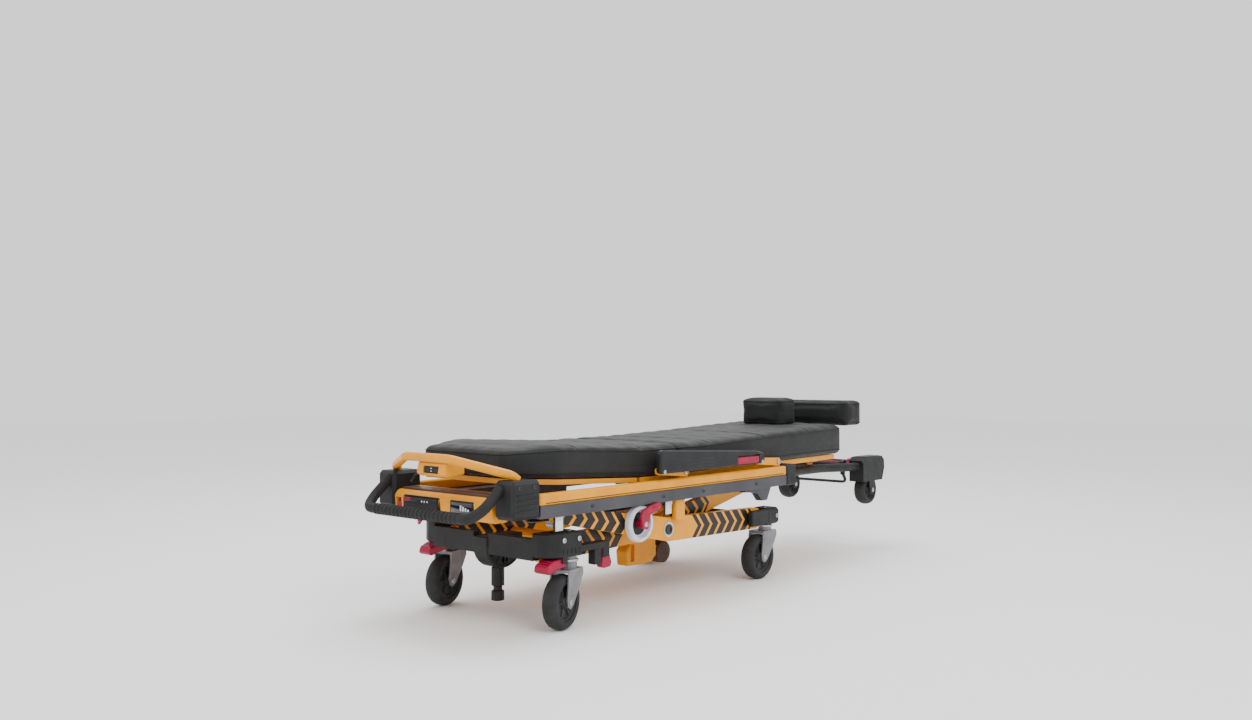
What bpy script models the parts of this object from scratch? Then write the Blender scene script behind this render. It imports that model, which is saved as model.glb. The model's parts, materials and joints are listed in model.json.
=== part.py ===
"""Powered ambulance cot, lowered, with its head section drawn out.

Metres, +Z up, +X towards the patient's head, left is -Y. The origin is on the floor, under
the middle of the cot's outline. Distances along the cot are measured from the foot casters'
axle line with along(); everything else is measured from the centre plane and the floor.
"""
import math

import bmesh
import bpy
from mathutils import Matrix, Vector

# ---------------------------------------------------------------- driving dimensions
FOOT_AXLE_X = -0.832      # foot casters' axle line, from the middle of the outline
GAP = 0.0004              # running gap between touching pieces
SIDES = {"left": -1.0, "right": 1.0}

WHEEL_RADIUS = 0.0765
WHEEL_WIDTH = 0.046
WHEEL_STEPS = 26
AXLE_Z = WHEEL_RADIUS * math.cos(math.pi / WHEEL_STEPS)   # the lowest tread facet is on the floor
TRAIL = 0.045             # caster axle behind its stem
FOOT_SWIVEL, HEAD_SWIVEL = math.radians(15.0), 0.0
FOOT_STEM, HEAD_STEM = 0.0435, 1.0265   # swivel axes
STEM_Y = 0.2465
PEDAL_X, PEDAL_Z = -0.004, 0.189          # wheel lock pedal's hinge
STEER_X, STEER_Z = 0.178, 0.186           # steering lock pedal's hinge

RAIL_IN, RAIL_OUT = 0.258, 0.284
RAIL_FOOT, RAIL_HEAD = -0.105, 1.108
RAIL_TOP, RAIL_SPLIT, RAIL_BOTTOM = 0.380, 0.348, 0.314
BLOCK_FOOT, BLOCK_TOP = -0.208, 0.421
SWITCH_Y = -0.020
WEB_BOTTOM, WEB_IN = 0.341, 0.200
CHANNEL_BOTTOM, CHANNEL_LEDGE = 0.297, 0.3255

SCISSOR_SPAN = 0.960      # between the leg pivots, along the cot, when lowered
LEG_TOP_Z, LEG_LOW_Z = 0.3125, 0.210
INNER_LANE = (0.174, 0.197)
OUTER_LANE = (0.230, 0.254)
PIVOT_Z = 0.2225           # crossing pivot: each leg bends down to it
UPPER_ANGLE = math.atan2(LEG_TOP_Z - PIVOT_Z, SCISSOR_SPAN / 2.0)
LOWER_ANGLE = math.atan2(PIVOT_Z - LEG_LOW_Z, SCISSOR_SPAN / 2.0)
UPPER_LENGTH = math.hypot(LEG_TOP_Z - PIVOT_Z, SCISSOR_SPAN / 2.0)
LOWER_LENGTH = math.hypot(PIVOT_Z - LEG_LOW_Z, SCISSOR_SPAN / 2.0)
BASE_TUBE_RADIUS = 0.019
ROLLER_RADIUS = 0.012
RAM_REACH, RAM_RISE = 0.250, -0.022   # ram pin on each leg: along it and above its centre line
HANGER = (-0.105, -0.025)             # power unit's hanger tube on the outer legs, likewise

KNEE_X, HIP_X = 0.370, 0.720         # folds of the patient surface
SURFACE_FOOT, SURFACE_HEAD = -0.150, 1.580
KNEE_TRAVEL, BACK_TRAVEL = 15.0, 72.0  # degrees that the leg section and the backrest can rise
LEG_SLOPE = math.radians(3.2)
BACK_SLOPE = math.radians(0.4)
BACK_TOP_SLOPE = math.radians(1.4)     # the back cushion thickens towards the head
DECK_BOTTOM, DECK_TOP, PAD_BOTTOM, PAD_TOP = 0.3705, 0.388, 0.392, 0.484
DECK_HALF, PAD_HALF, FOOT_HALF = 0.225, 0.250, 0.175

BAR_RISE_Z, BAR_ARM = 0.397, 0.135   # siderail arm pivots and arm length
ARM_FOOT_X, ARM_HEAD_X = 0.545, 1.075
ARM_TILT = math.radians(4.0)

EXTENSION_Z, RELEASE_Z = 0.379, 0.359     # pins at the head of the backrest

LOCK_X, LOCK_Z = 0.322, 0.258            # leg lock's centre
SLIDE_Y, SLIDE_Z, SLIDE_RADIUS = 0.150, 0.335, 0.017
LOAD_WHEEL_X, LOAD_WHEEL_Y, LOAD_WHEEL_Z, LOAD_WHEEL_RADIUS = 1.868, 0.182, 0.232, 0.060
TOTAL_HEAD = 1.9745

YELLOW = ("amber", (0.86, 0.48, 0.05), 0.35, 0.1)
BLACK = ("black_plastic", (0.03, 0.03, 0.032), 0.55, 0.0)
GREY = ("grey_track", (0.16, 0.16, 0.18), 0.4, 0.7)
FABRIC = ("mattress", (0.03, 0.032, 0.032), 0.8, 0.0)
RED = ("red_plastic", (0.5, 0.02, 0.05), 0.4, 0.0)
STEEL = ("steel", (0.55, 0.56, 0.58), 0.3, 0.9)
FORK = ("fork_grey", (0.52, 0.52, 0.54), 0.4, 0.5)
TYRE = ("tyre", (0.07, 0.07, 0.075), 0.7, 0.0)
RING = ("ring_grey", (0.62, 0.62, 0.70), 0.4, 0.1)


def along(distance):
    """World X of a point this far headward of the foot axle line."""
    return FOOT_AXLE_X + distance


# ---------------------------------------------------------------- building tools
def material(spec, name):
    kind, colour, roughness, metallic = spec
    made = bpy.data.materials.new(name + "_" + kind)
    made.use_nodes = True
    shader = made.node_tree.nodes["Principled BSDF"]
    shader.inputs["Base Color"].default_value = (*colour, 1.0)
    shader.inputs["Roughness"].default_value = roughness
    shader.inputs["Metallic"].default_value = metallic
    made.diffuse_color = (*colour, 1.0)
    return made


def link(name, bm):
    bmesh.ops.recalc_face_normals(bm, faces=bm.faces)
    mesh = bpy.data.meshes.new(name)
    bm.to_mesh(mesh)
    bm.free()
    made = bpy.data.objects.new(name, mesh)
    bpy.context.collection.objects.link(made)
    return made


def prism(outline, axis, low, high, bevel=0.0):
    """Solid of an outline drawn in the plane across axis ("X", "Y" or "Z"), from low to high."""
    bm = bmesh.new()
    place = {
        "X": lambda u, v, w: (w, u, v),
        "Y": lambda u, v, w: (u, w, v),
        "Z": lambda u, v, w: (u, v, w),
    }[axis]
    bottom = [bm.verts.new(place(u, v, low)) for u, v in outline]
    top = [bm.verts.new(place(u, v, high)) for u, v in outline]
    bm.faces.new(bottom)
    bm.faces.new(top)
    count = len(outline)
    for i in range(count):
        j = (i + 1) % count
        bm.faces.new((bottom[i], bottom[j], top[j], top[i]))
    if bevel > 0.0:
        bmesh.ops.recalc_face_normals(bm, faces=bm.faces)
        bmesh.ops.bevel(bm, geom=bm.edges[:], offset=bevel, segments=1, affect="EDGES",
                        clamp_overlap=True)
    return link("shape", bm)


def box(low, high, bevel=0.0):
    outline = [(low[0], low[1]), (high[0], low[1]), (high[0], high[1]), (low[0], high[1])]
    return prism(outline, "Z", low[2], high[2], bevel)


def side_box(side, x, y, z, bevel=0.0):
    """Box given as ranges, with y measured outward from the centre plane on one side."""
    ys = sorted((side * y[0], side * y[1]))
    return box((x[0], ys[0], z[0]), (x[1], ys[1], z[1]), bevel)


def cylinder(start, end, radius, steps=20, end_radius=None):
    start, end = Vector(start), Vector(end)
    turn = (end - start).to_track_quat("Z", "Y").to_matrix().to_4x4()
    bm = bmesh.new()
    bmesh.ops.create_cone(bm, cap_ends=True, segments=steps, radius1=radius,
                          radius2=radius if end_radius is None else end_radius,
                          depth=(end - start).length,
                          matrix=Matrix.Translation((start + end) / 2.0) @ turn)
    return link("shape", bm)


def across(side, x, z, radius, y, steps=14):
    """Round bar across the cot, y measured outward from the centre plane on one side."""
    return cylinder((x, side * y[0], z), (x, side * y[1], z), radius, steps)


def sweep(points, radius, steps=10):
    """Round tube along a smooth row of points."""
    points = [Vector(p) for p in points]
    bm = bmesh.new()
    rings = []
    normal = None
    for i, point in enumerate(points):
        ahead = points[min(i + 1, len(points) - 1)]
        behind = points[max(i - 1, 0)]
        tangent = (ahead - behind).normalized()
        if normal is None:
            normal = tangent.orthogonal().normalized()
        normal = (normal - tangent * normal.dot(tangent)).normalized()
        second = tangent.cross(normal)
        ring = []
        for k in range(steps):
            angle = 2.0 * math.pi * k / steps
            ring.append(bm.verts.new(point + radius * (math.cos(angle) * normal
                                                       + math.sin(angle) * second)))
        rings.append(ring)
    for ring, following in zip(rings, rings[1:]):
        for k in range(steps):
            j = (k + 1) % steps
            bm.faces.new((ring[k], ring[j], following[j], following[k]))
    bm.faces.new(rings[0])
    bm.faces.new(rings[-1])
    return link("shape", bm)


def rounded_path(corners, radius, steps=5):
    """Open path through corners, each inner corner replaced by a curve of this reach."""
    corners = [Vector(c) for c in corners]
    path = [corners[0]]
    for before, corner, after in zip(corners, corners[1:], corners[2:]):
        start = corner + (before - corner).normalized() * radius
        end = corner + (after - corner).normalized() * radius
        for k in range(steps + 1):
            t = k / steps
            path.append(start.lerp(corner, t).lerp(corner.lerp(end, t), t))
    path.append(corners[-1])
    return path


def turned(profile, centre, axis, steps=32):
    """Closed ring of (along axis, radius) pairs turned about a line, with a facet facing down."""
    axis = Vector(axis).normalized()
    first = Vector((1.0, 0.0, 0.0)) if abs(axis.z) > 0.5 else Vector((0.0, 0.0, -1.0))
    second = axis.cross(first)
    centre = Vector(centre)
    bm = bmesh.new()
    rings = []
    for k in range(steps):
        angle = 2.0 * math.pi * (k + 0.5) / steps
        out = math.cos(angle) * first + math.sin(angle) * second
        rings.append([bm.verts.new(centre + axis * s + out * r) for s, r in profile])
    count = len(profile)
    for k in range(steps):
        ring, following = rings[k], rings[(k + 1) % steps]
        for i in range(count):
            j = (i + 1) % count
            bm.faces.new((ring[i], ring[j], following[j], following[i]))
    return link("shape", bm)


def boolean(target, tools, operation):
    for tool in tools:
        step = target.modifiers.new(operation.lower(), "BOOLEAN")
        step.operation = operation
        step.solver = "EXACT"
        step.object = tool
    evaluated = target.evaluated_get(bpy.context.evaluated_depsgraph_get())
    mesh = bpy.data.meshes.new_from_object(evaluated)
    target.modifiers.clear()
    target.data = mesh
    for tool in tools:
        bpy.data.objects.remove(tool)
    return target


def join(*shapes):
    return boolean(shapes[0], shapes[1:], "UNION")


def cut(target, *tools):
    return boolean(target, tools, "DIFFERENCE")


def transform(shape, matrix):
    shape.data.transform(matrix)
    return shape


def about(x, z, angle):
    """Turn by angle about a line across the cot; a positive angle lifts the head side."""
    centre = Matrix.Translation((x, 0.0, z))
    return centre @ Matrix.Rotation(-angle, 4, "Y") @ centre.inverted()


BODIES = {}


def body(name, pivot, parent="litter"):
    """Empty on a moving body's joint axis; the litter's is at the origin."""
    empty = bpy.data.objects.new(name + "_axis", None)
    bpy.context.collection.objects.link(empty)
    pivot = Vector(pivot)
    if parent is None:
        empty.location = pivot
    else:
        parent_empty, parent_pivot = BODIES[parent]
        empty.parent = parent_empty
        empty.location = pivot - parent_pivot
    BODIES[name] = (empty, pivot)


def node(name, shape, spec, on):
    """Name a finished shape and hang it on its body's empty, with its origin on the axis."""
    empty, pivot = BODIES[on]
    shape.data.transform(Matrix.Translation(-pivot))
    shape.name = name
    shape.data.name = name
    shape.data.materials.clear()
    shape.data.materials.append(material(spec, name))
    shape.data.shade_smooth()
    shape.data.set_sharp_from_angle(angle=math.radians(35.0))
    shape.parent = empty
    return shape


# ---------------------------------------------------------------- litter
def rail_track(side):
    """Grey extrusion under a side rail: outer wall, web, and a channel for the leg roller."""
    wall = [(RAIL_OUT, RAIL_BOTTOM), (RAIL_OUT, RAIL_SPLIT), (WEB_IN, RAIL_SPLIT),
            (WEB_IN, WEB_BOTTOM), (RAIL_IN, WEB_BOTTOM), (RAIL_IN, RAIL_BOTTOM)]
    channel = [(0.226, CHANNEL_BOTTOM), (0.226, 0.300), (0.204, 0.300), (0.204, CHANNEL_LEDGE),
               (0.226, CHANNEL_LEDGE), (0.226, 0.3285), (0.204, 0.3285), (0.204, 0.346),
               (WEB_IN, 0.346), (WEB_IN, CHANNEL_BOTTOM)]
    bracket = [(0.935, 0.346), (1.106, 0.346), (1.100, 0.305), (1.075, 0.260), (1.040, 0.260),
               (1.015, 0.286), (0.985, 0.294), (0.940, 0.296)]
    wall = [(side * u, z) for u, z in wall]
    channel = [(side * u, z) for u, z in channel]
    bracket = [(along(d), z) for d, z in bracket]
    bracket_y = sorted((side * 0.2012, side * 0.2255))
    shape = join(prism(wall, "X", along(RAIL_FOOT), along(RAIL_HEAD)),
                 prism(channel, "X", along(-0.080), along(0.500)),
                 prism(bracket, "Y", *bracket_y),
                 across(side, along(SCISSOR_SPAN), LEG_TOP_Z, 0.007, (0.168, 0.210)))
    node(f"rail_track_{name_of(side)}", shape, GREY, "litter")


def side_rail(side):
    """Amber rail with the two siderail arm ears and their pins."""
    shape = side_box(side, (along(RAIL_FOOT), along(RAIL_HEAD)), (RAIL_IN, RAIL_OUT),
                     (RAIL_SPLIT + GAP, RAIL_TOP), 0.004)
    parts = []
    for distance in (ARM_FOOT_X, ARM_HEAD_X):
        x = along(distance)
        parts.append(side_box(side, (x - 0.022, x + 0.022), (RAIL_IN, RAIL_IN + 0.005),
                              (RAIL_TOP - 0.010, BAR_RISE_Z + 0.012)))
        parts.append(across(side, x, BAR_RISE_Z, 0.006, (RAIL_IN + 0.002, 0.2745), 12))
    node(f"side_rail_{name_of(side)}", join(shape, *parts), YELLOW, "litter")


def foot_corner(side):
    shape = side_box(side, (along(BLOCK_FOOT), along(RAIL_FOOT) - GAP), (0.212, 0.288),
                     (0.318, BLOCK_TOP), 0.009)
    node(f"foot_corner_{name_of(side)}", shape, BLACK, "litter")


def head_end_casting():
    """Black casting across the head end, with the bores that guide the head section."""
    shape = box((along(1.108) + GAP, -0.286, 0.311), (along(1.173), 0.286, 0.384), 0.006)
    bores = [cylinder((along(1.09), side * SLIDE_Y, SLIDE_Z), (along(1.19), side * SLIDE_Y, SLIDE_Z),
                      SLIDE_RADIUS + 0.0012, 16) for side in SIDES.values()]
    recess = box((along(1.09), -0.115, 0.30), (along(1.19), 0.115, 0.352))
    saddle = box((along(1.09), -0.224, 0.3695), (along(1.19), 0.224, 0.40))
    node("head_end_casting", cut(shape, *bores, recess, saddle), BLACK, "litter")


def mid_guide():
    """Cross member under the backrest with two hanging guides for the head section."""
    beam = box((along(0.800), -RAIL_IN + GAP, 0.3505), (along(0.840), RAIL_IN - GAP, 0.3685))
    hangers = [side_box(side, (along(0.800), along(0.840)), (0.128, 0.171), (0.311, 0.358))
               for side in SIDES.values()]
    bores = [cylinder((along(0.79), side * SLIDE_Y, SLIDE_Z), (along(0.85), side * SLIDE_Y, SLIDE_Z),
                      SLIDE_RADIUS + 0.0012, 16) for side in SIDES.values()]
    node("mid_guide", cut(join(beam, *hangers), *bores), GREY, "litter")


def lower_lift_bar():
    """Black loop at the foot end, low, rooted in the corner blocks."""
    corners = [(along(-0.205), -0.236, 0.400), (along(-0.262), -0.236, 0.350),
               (along(-0.296), -0.215, 0.325), (along(-0.296), 0.215, 0.325),
               (along(-0.262), 0.236, 0.350), (along(-0.205), 0.236, 0.400)]
    shape = sweep(rounded_path(corners, 0.022, 3), 0.0145, 10)
    shape = cut(shape, box((along(BLOCK_FOOT) - GAP, -0.30, 0.30), (along(-0.10), 0.30, 0.45)))
    node("lower_lift_bar", shape, BLACK, "litter")


def upper_lift_bar():
    """Amber tapered loop above it, rising from the corner blocks' tops."""
    corners = [(along(-0.160), -0.252, BLOCK_TOP + GAP), (along(-0.174), -0.248, 0.434),
               (along(-0.258), -0.092, 0.474), (along(-0.258), 0.092, 0.474),
               (along(-0.174), 0.248, 0.434), (along(-0.160), 0.252, BLOCK_TOP + GAP)]
    shape = sweep(rounded_path(corners, 0.012, 3), 0.0125, 10)
    shape = cut(shape, box((along(-0.22), -0.28, 0.36), (along(-0.08), 0.28, BLOCK_TOP + GAP)))
    node("upper_lift_bar", shape, YELLOW, "litter")


def control_box():
    outline = [(along(-0.264), 0.432), (along(-0.258), 0.4610), (along(-0.205), 0.4610),
               (along(-0.192), 0.448), (along(-0.192), 0.428), (along(-0.250), 0.422)]
    shape = prism(outline, "Y", -0.080, 0.040, 0.003)
    slot = box((along(-0.30), SWITCH_Y - 0.032, 0.432), (along(-0.246), SWITCH_Y + 0.032, 0.452))
    node("control_box", cut(shape, slot), YELLOW, "litter")


def height_switch():
    """Rocker that raises and lowers the litter."""
    x = along(-0.247)
    shape = prism([(x - 0.012, 0.4335), (x - 0.0135, 0.442), (x - 0.012, 0.4505),
                   (x - 0.006, 0.4490), (x - 0.006, 0.4350)], "Y", SWITCH_Y - 0.030, SWITCH_Y + 0.030)
    node("height_switch", shape, YELLOW, "height_switch")


def console_housing():
    """Amber electronics housing between the corner blocks, with a bay for the battery."""
    outline = [(along(-0.208), 0.314), (along(-0.212), 0.356), (along(-0.200), 0.370),
               (along(-0.125), 0.377), (along(-0.125), 0.330), (along(-0.150), 0.304),
               (along(-0.198), 0.304)]
    shape = prism(outline, "Y", -0.2050, 0.2050, 0.004)
    bay = box((along(-0.28), 0.0080, 0.3195), (along(-0.150), 0.1580, 0.3550))
    lever_bay = box((along(-0.28), 0.1725, 0.29), (along(-0.170), 0.1975, 0.350))
    node("console_housing", cut(shape, bay, lever_bay), YELLOW, "litter")


def battery_pack():
    shape = box((along(-0.217), 0.0085, 0.320), (along(-0.151), 0.1575, 0.3545), 0.004)
    node("battery_pack", shape, BLACK, "battery_pack")


def manual_release_lever():
    x = along(-0.195)
    shape = prism([(x - 0.018, 0.297), (x - 0.010, 0.341), (x + 0.010, 0.341), (x + 0.016, 0.320),
                   (x + 0.000, 0.297)], "Y", 0.1755, 0.1945, 0.002)
    node("manual_release_lever", shape, RED, "manual_release")


# ---------------------------------------------------------------- patient surface
def slab(x, half, z, bevel):
    return box((x[0], -half, z[0]), (x[1], half, z[1]), bevel)


def foot_taper(shape, x_end, half, end_half):
    """Cut the foot corners off in plan, from full width to end_half at the foot edge."""
    x_start = along(KNEE_X) + 0.69 * (x_end - along(KNEE_X))
    cutters = []
    for side in SIDES.values():
        slope = (half - end_half) / (x_start - x_end)
        reach = 0.05
        outline = [(x_start + reach / slope, side * (half + reach)), (x_end - 0.1, side * (half + reach)),
                   (x_end - 0.1, side * (end_half - 0.1 * slope))]
        cutters.append(prism(outline, "Z", 0.30, 0.60))
    return cut(shape, *cutters)


def pad(foot_x, head_x, foot_fold, head_fold, rise=0.0, bevel=0.012):
    """Mattress section whose ends lean back from a fold by half the fold's travel."""
    low, high = PAD_BOTTOM, PAD_TOP
    foot, head = math.tan(math.radians(foot_fold / 2.0)), math.tan(math.radians(head_fold / 2.0))
    outline = [(foot_x + (low - DECK_TOP) * foot, low), (head_x - (low - DECK_TOP) * head, low),
               (head_x - (high - DECK_TOP) * head, high + rise), (foot_x + (high - DECK_TOP) * foot, high)]
    return prism(outline, "Y", -PAD_HALF, PAD_HALF, bevel)


def seat_deck():
    """Fixed tray between the folds, standing on the rails."""
    shape = slab((along(KNEE_X) + 0.006, along(HIP_X) - 0.006), DECK_HALF, (DECK_BOTTOM, DECK_TOP), 0.0)
    feet = [side_box(side, (along(KNEE_X) + 0.02, along(HIP_X) - 0.02), (0.213, 0.2245),
                     (RAIL_SPLIT + GAP, DECK_TOP - 0.002)) for side in SIDES.values()]
    node("seat_deck", join(shape, *feet), YELLOW, "litter")
    cushion = pad(along(KNEE_X) + 0.004, along(HIP_X) - 0.004, KNEE_TRAVEL, BACK_TRAVEL)
    node("seat_cushion", cushion, FABRIC, "litter")


def leg_deck():
    """Leg section, hinged at the knee fold and sloping up to the foot."""
    lift = about(along(KNEE_X), DECK_TOP, -LEG_SLOPE)
    shape = slab((along(SURFACE_FOOT) + 0.03, along(KNEE_X) - 0.006), DECK_HALF,
                 (DECK_BOTTOM + 0.003, DECK_TOP), 0.0)
    shape = foot_taper(shape, along(SURFACE_FOOT) + 0.03, DECK_HALF, FOOT_HALF)
    node("leg_deck", transform(shape, lift), YELLOW, "leg_section")
    cushion = pad(along(SURFACE_FOOT), along(KNEE_X) - 0.004, 0.0, KNEE_TRAVEL)
    cushion = foot_taper(cushion, along(SURFACE_FOOT), PAD_HALF, FOOT_HALF)
    node("leg_cushion", transform(cushion, lift), FABRIC, "leg_section")


def back_deck():
    """Backrest, hinged at the hip fold and sloping up to the head."""
    lift = about(along(HIP_X), DECK_TOP, BACK_SLOPE)
    shape = slab((along(HIP_X) + 0.006, along(1.560)), 0.215, (DECK_BOTTOM, DECK_TOP), 0.0)
    recess = join(box((along(0.80), -0.16, 0.34), (along(1.47), 0.16, DECK_TOP - 0.006)),
                  box((along(1.46), -0.132, 0.34), (along(1.552), 0.132, DECK_TOP - 0.006)))
    notches = [side_box(side, (along(1.54), along(1.57)), (0.100, 0.130), (0.34, DECK_TOP - 0.006))
               for side in SIDES.values()]      # room for the release bar's arms as they rise
    lugs = [side_box(side, (along(1.545), along(1.592)), (0.0625, 0.0725), (DECK_BOTTOM, DECK_TOP))
            for side in SIDES.values()]
    lugs += [side_box(side, (along(1.488), along(1.512)), (0.1385, 0.146), (0.3485, DECK_BOTTOM + 0.005))
             for side in SIDES.values()]
    pin = bar_across(along(1.580), EXTENSION_Z, 0.005, 0.066, 14)
    bore = bar_across(along(1.500), RELEASE_Z, 0.0080, 0.16, 14)
    shape = cut(join(cut(shape, recess, *notches), pin, *lugs), bore)
    node("back_deck", transform(shape, lift), YELLOW, "backrest")
    rise = (SURFACE_HEAD - HIP_X) * math.tan(BACK_TOP_SLOPE)
    cushion = pad(along(HIP_X) + 0.004, along(SURFACE_HEAD), BACK_TRAVEL, 0.0, rise)
    node("back_cushion", transform(cushion, lift), FABRIC, "backrest")
    plan = [(1.500, -0.148), (1.500, -0.124), (1.609, -0.110), (1.609, 0.110), (1.500, 0.124), (1.500, 0.148)]
    corners = [(along(distance), y, RELEASE_Z) for distance, y in plan]
    lever = sweep(rounded_path(corners, 0.011, 2), 0.007, 8)
    node("backrest_release_bar", transform(lever, lift), RED, "backrest_release")


def head_extension():
    """Padded head extension on a bracket at the top of the backrest, with its pillow."""
    lift = about(along(HIP_X), DECK_TOP, BACK_SLOPE)
    upright = prism([(along(1.582), 0.374), (along(1.582), 0.386), (along(1.588), 0.392),
                     (along(1.588), 0.482), (along(1.610), 0.4935), (along(1.715), 0.4935),
                     (along(1.715), 0.4845), (along(1.632), 0.482), (along(1.600), 0.460),
                     (along(1.600), 0.382)], "Y", -0.060, 0.060)
    shape = join(upright, bar_across(along(1.580), EXTENSION_Z, 0.0085, 0.060, 16))
    shape = cut(shape, bar_across(along(1.580), EXTENSION_Z, 0.0056, 0.070, 14))
    node("head_extension_bracket", transform(shape, lift), BLACK, "head_extension")
    cushion = slab((along(1.609), along(1.735)), 0.245, (0.4945, 0.5930), 0.010)
    node("head_extension_pad", transform(cushion, lift), FABRIC, "head_extension")
    lie = lift @ about(along(HIP_X), PAD_TOP, BACK_TOP_SLOPE)
    pillow = slab((along(1.375), along(1.490)), 0.095, (PAD_TOP + 0.001, 0.590), 0.012)
    node("head_pillow", transform(pillow, lie), FABRIC, "backrest")


# ---------------------------------------------------------------- siderails
def rounded_link(length, start_radius, end_radius, steps=8):
    """Outline of a flat link with a rounded end about each of its two pins."""
    outline = []
    for k in range(steps + 1):
        angle = math.pi / 2.0 + math.pi * k / steps
        outline.append((start_radius * math.cos(angle), start_radius * math.sin(angle)))
    for k in range(steps + 1):
        angle = -math.pi / 2.0 + math.pi * k / steps
        outline.append((length + end_radius * math.cos(angle), end_radius * math.sin(angle)))
    return outline


def arm_end(x):
    return (x - BAR_ARM * math.cos(ARM_TILT), BAR_RISE_Z + BAR_ARM * math.sin(ARM_TILT))


def siderail(side):
    """Parallelogram siderail lying flat: two arms, the top bar and its latch."""
    label = name_of(side)
    lane = (0.2645, 0.2720)
    for which, distance in (("foot", ARM_FOOT_X), ("head", ARM_HEAD_X)):
        x = along(distance)
        end_x, end_z = arm_end(x)
        ys = sorted((side * lane[0], side * lane[1]))
        outline = rounded_link(BAR_ARM, 0.0135, 0.0110, 7)
        shape = prism([(x - u, BAR_RISE_Z + v) for u, v in outline], "Y", *ys)
        shape = transform(shape, about(x, BAR_RISE_Z, -ARM_TILT))
        shape = cut(shape, across(side, x, BAR_RISE_Z, 0.0067, (0.255, 0.280), 12),
                    across(side, end_x, end_z, 0.0057, (0.255, 0.280), 12))
        node(f"siderail_{which}_arm_{label}", shape, YELLOW, f"{which}_arm_{label}")
    foot_x, pin_z = arm_end(along(ARM_FOOT_X))
    head_x = arm_end(along(ARM_HEAD_X))[0]
    outline = [(foot_x - 0.016, 0.400), (foot_x - 0.022, 0.410), (foot_x - 0.018, 0.466),
               (foot_x - 0.006, 0.472), (head_x - 0.030, 0.446), (head_x + 0.010, 0.436),
               (head_x + 0.018, 0.412), (head_x + 0.010, 0.400)]
    bar = prism(outline, "Y", *sorted((side * 0.2755, side * 0.2965)), 0.005)
    slot = side_box(side, (head_x - 0.146, head_x - 0.018), (0.27, 0.30), (0.4035, 0.4330))
    pins = [across(side, x, pin_z, 0.005, (0.2665, 0.2775), 12) for x in (foot_x, head_x)]
    shape = join(cut(bar, slot), *pins)
    node(f"siderail_bar_{label}", shape, BLACK, f"siderail_bar_{label}")
    latch = side_box(side, (head_x - 0.1445, head_x - 0.0195), (0.2765, 0.2960), (0.4040, 0.4280), 0.002)
    node(f"siderail_latch_{label}", latch, RED, f"siderail_latch_{label}")


# ---------------------------------------------------------------- head section
def head_section():
    """Telescoping frame that carries the load wheels ahead of the litter."""
    parts = []
    for side in SIDES.values():
        path = rounded_path([(along(0.700), side * SLIDE_Y, SLIDE_Z), (along(1.560), side * SLIDE_Y, SLIDE_Z),
                             (along(1.720), side * 0.178, 0.330), (along(1.810), side * 0.182, 0.328)],
                            0.05, 3)
        parts.append(sweep(path, SLIDE_RADIUS, 14))
        housing = prism([(along(1.795), 0.268), (along(1.795), 0.352), (along(1.812), 0.366),
                         (along(1.952), 0.366), (along(1.971), 0.350), (along(TOTAL_HEAD), 0.318),
                         (along(1.955), 0.268)], "Y", *sorted((side * 0.150, side * 0.214)))
        well = side_box(side, (along(1.803), along(1.937)), (0.1560, 0.2080), (0.250, 0.2985))
        parts.append(cut(housing, well))
        for lane in ((0.150, 0.1555), (0.2085, 0.214)):
            fork = prism([(along(1.846), 0.275), (along(1.894), 0.275), (along(1.886), 0.222),
                          (along(1.878), 0.214), (along(1.858), 0.214), (along(1.850), 0.222)], "Y",
                         *sorted((side * lane[0], side * lane[1])))
            parts.append(fork)
        parts.append(across(side, along(LOAD_WHEEL_X), LOAD_WHEEL_Z, 0.006, (0.152, 0.212), 16))
    parts.append(cylinder((along(1.785), -0.20, 0.330), (along(1.785), 0.20, 0.330), 0.013, 16))
    parts.append(cylinder((along(1.945), -0.20, 0.330), (along(1.945), 0.20, 0.330), 0.013, 16))
    node("head_section_frame", join(*parts), BLACK, "head_section")


def load_wheel(side):
    """Loading wheel with a crowned tread and a bored hub."""
    half = 0.0245
    r = LOAD_WHEEL_RADIUS
    profile = [(-half, 0.0070), (-half, 0.022), (-half + 0.004, 0.040), (-half, r - 0.007),
               (-half + 0.008, r), (half - 0.008, r), (half, r - 0.007), (half - 0.004, 0.040),
               (half, 0.022), (half, 0.0070)]
    shape = turned(profile, (along(LOAD_WHEEL_X), side * LOAD_WHEEL_Y, LOAD_WHEEL_Z), (0, 1, 0), 20)
    node(f"load_wheel_{name_of(side)}", shape, TYRE, f"load_wheel_{name_of(side)}")


def safety_bar():
    """Sprung loop that catches the vehicle's hook, hanging from the head section's cross tube."""
    x = along(1.785)
    path = rounded_path([(x, -0.125, 0.300), (x + 0.030, -0.125, 0.262), (x + 0.030, 0.125, 0.262),
                         (x, 0.125, 0.300)], 0.022, 4)
    eyes = []
    for side in SIDES.values():
        eyes.append(cylinder((x, side * 0.116, 0.330), (x, side * 0.134, 0.330), 0.022, 16))
        eyes.append(box((x - 0.007, side * 0.125 - 0.007, 0.294), (x + 0.007, side * 0.125 + 0.007, 0.314)))
    shape = join(sweep(path, 0.006, 8), *eyes)
    bore = cylinder((x, -0.2, 0.330), (x, 0.2, 0.330), 0.0138, 16)
    node("safety_bar", cut(shape, bore), STEEL, "safety_bar")


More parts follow.
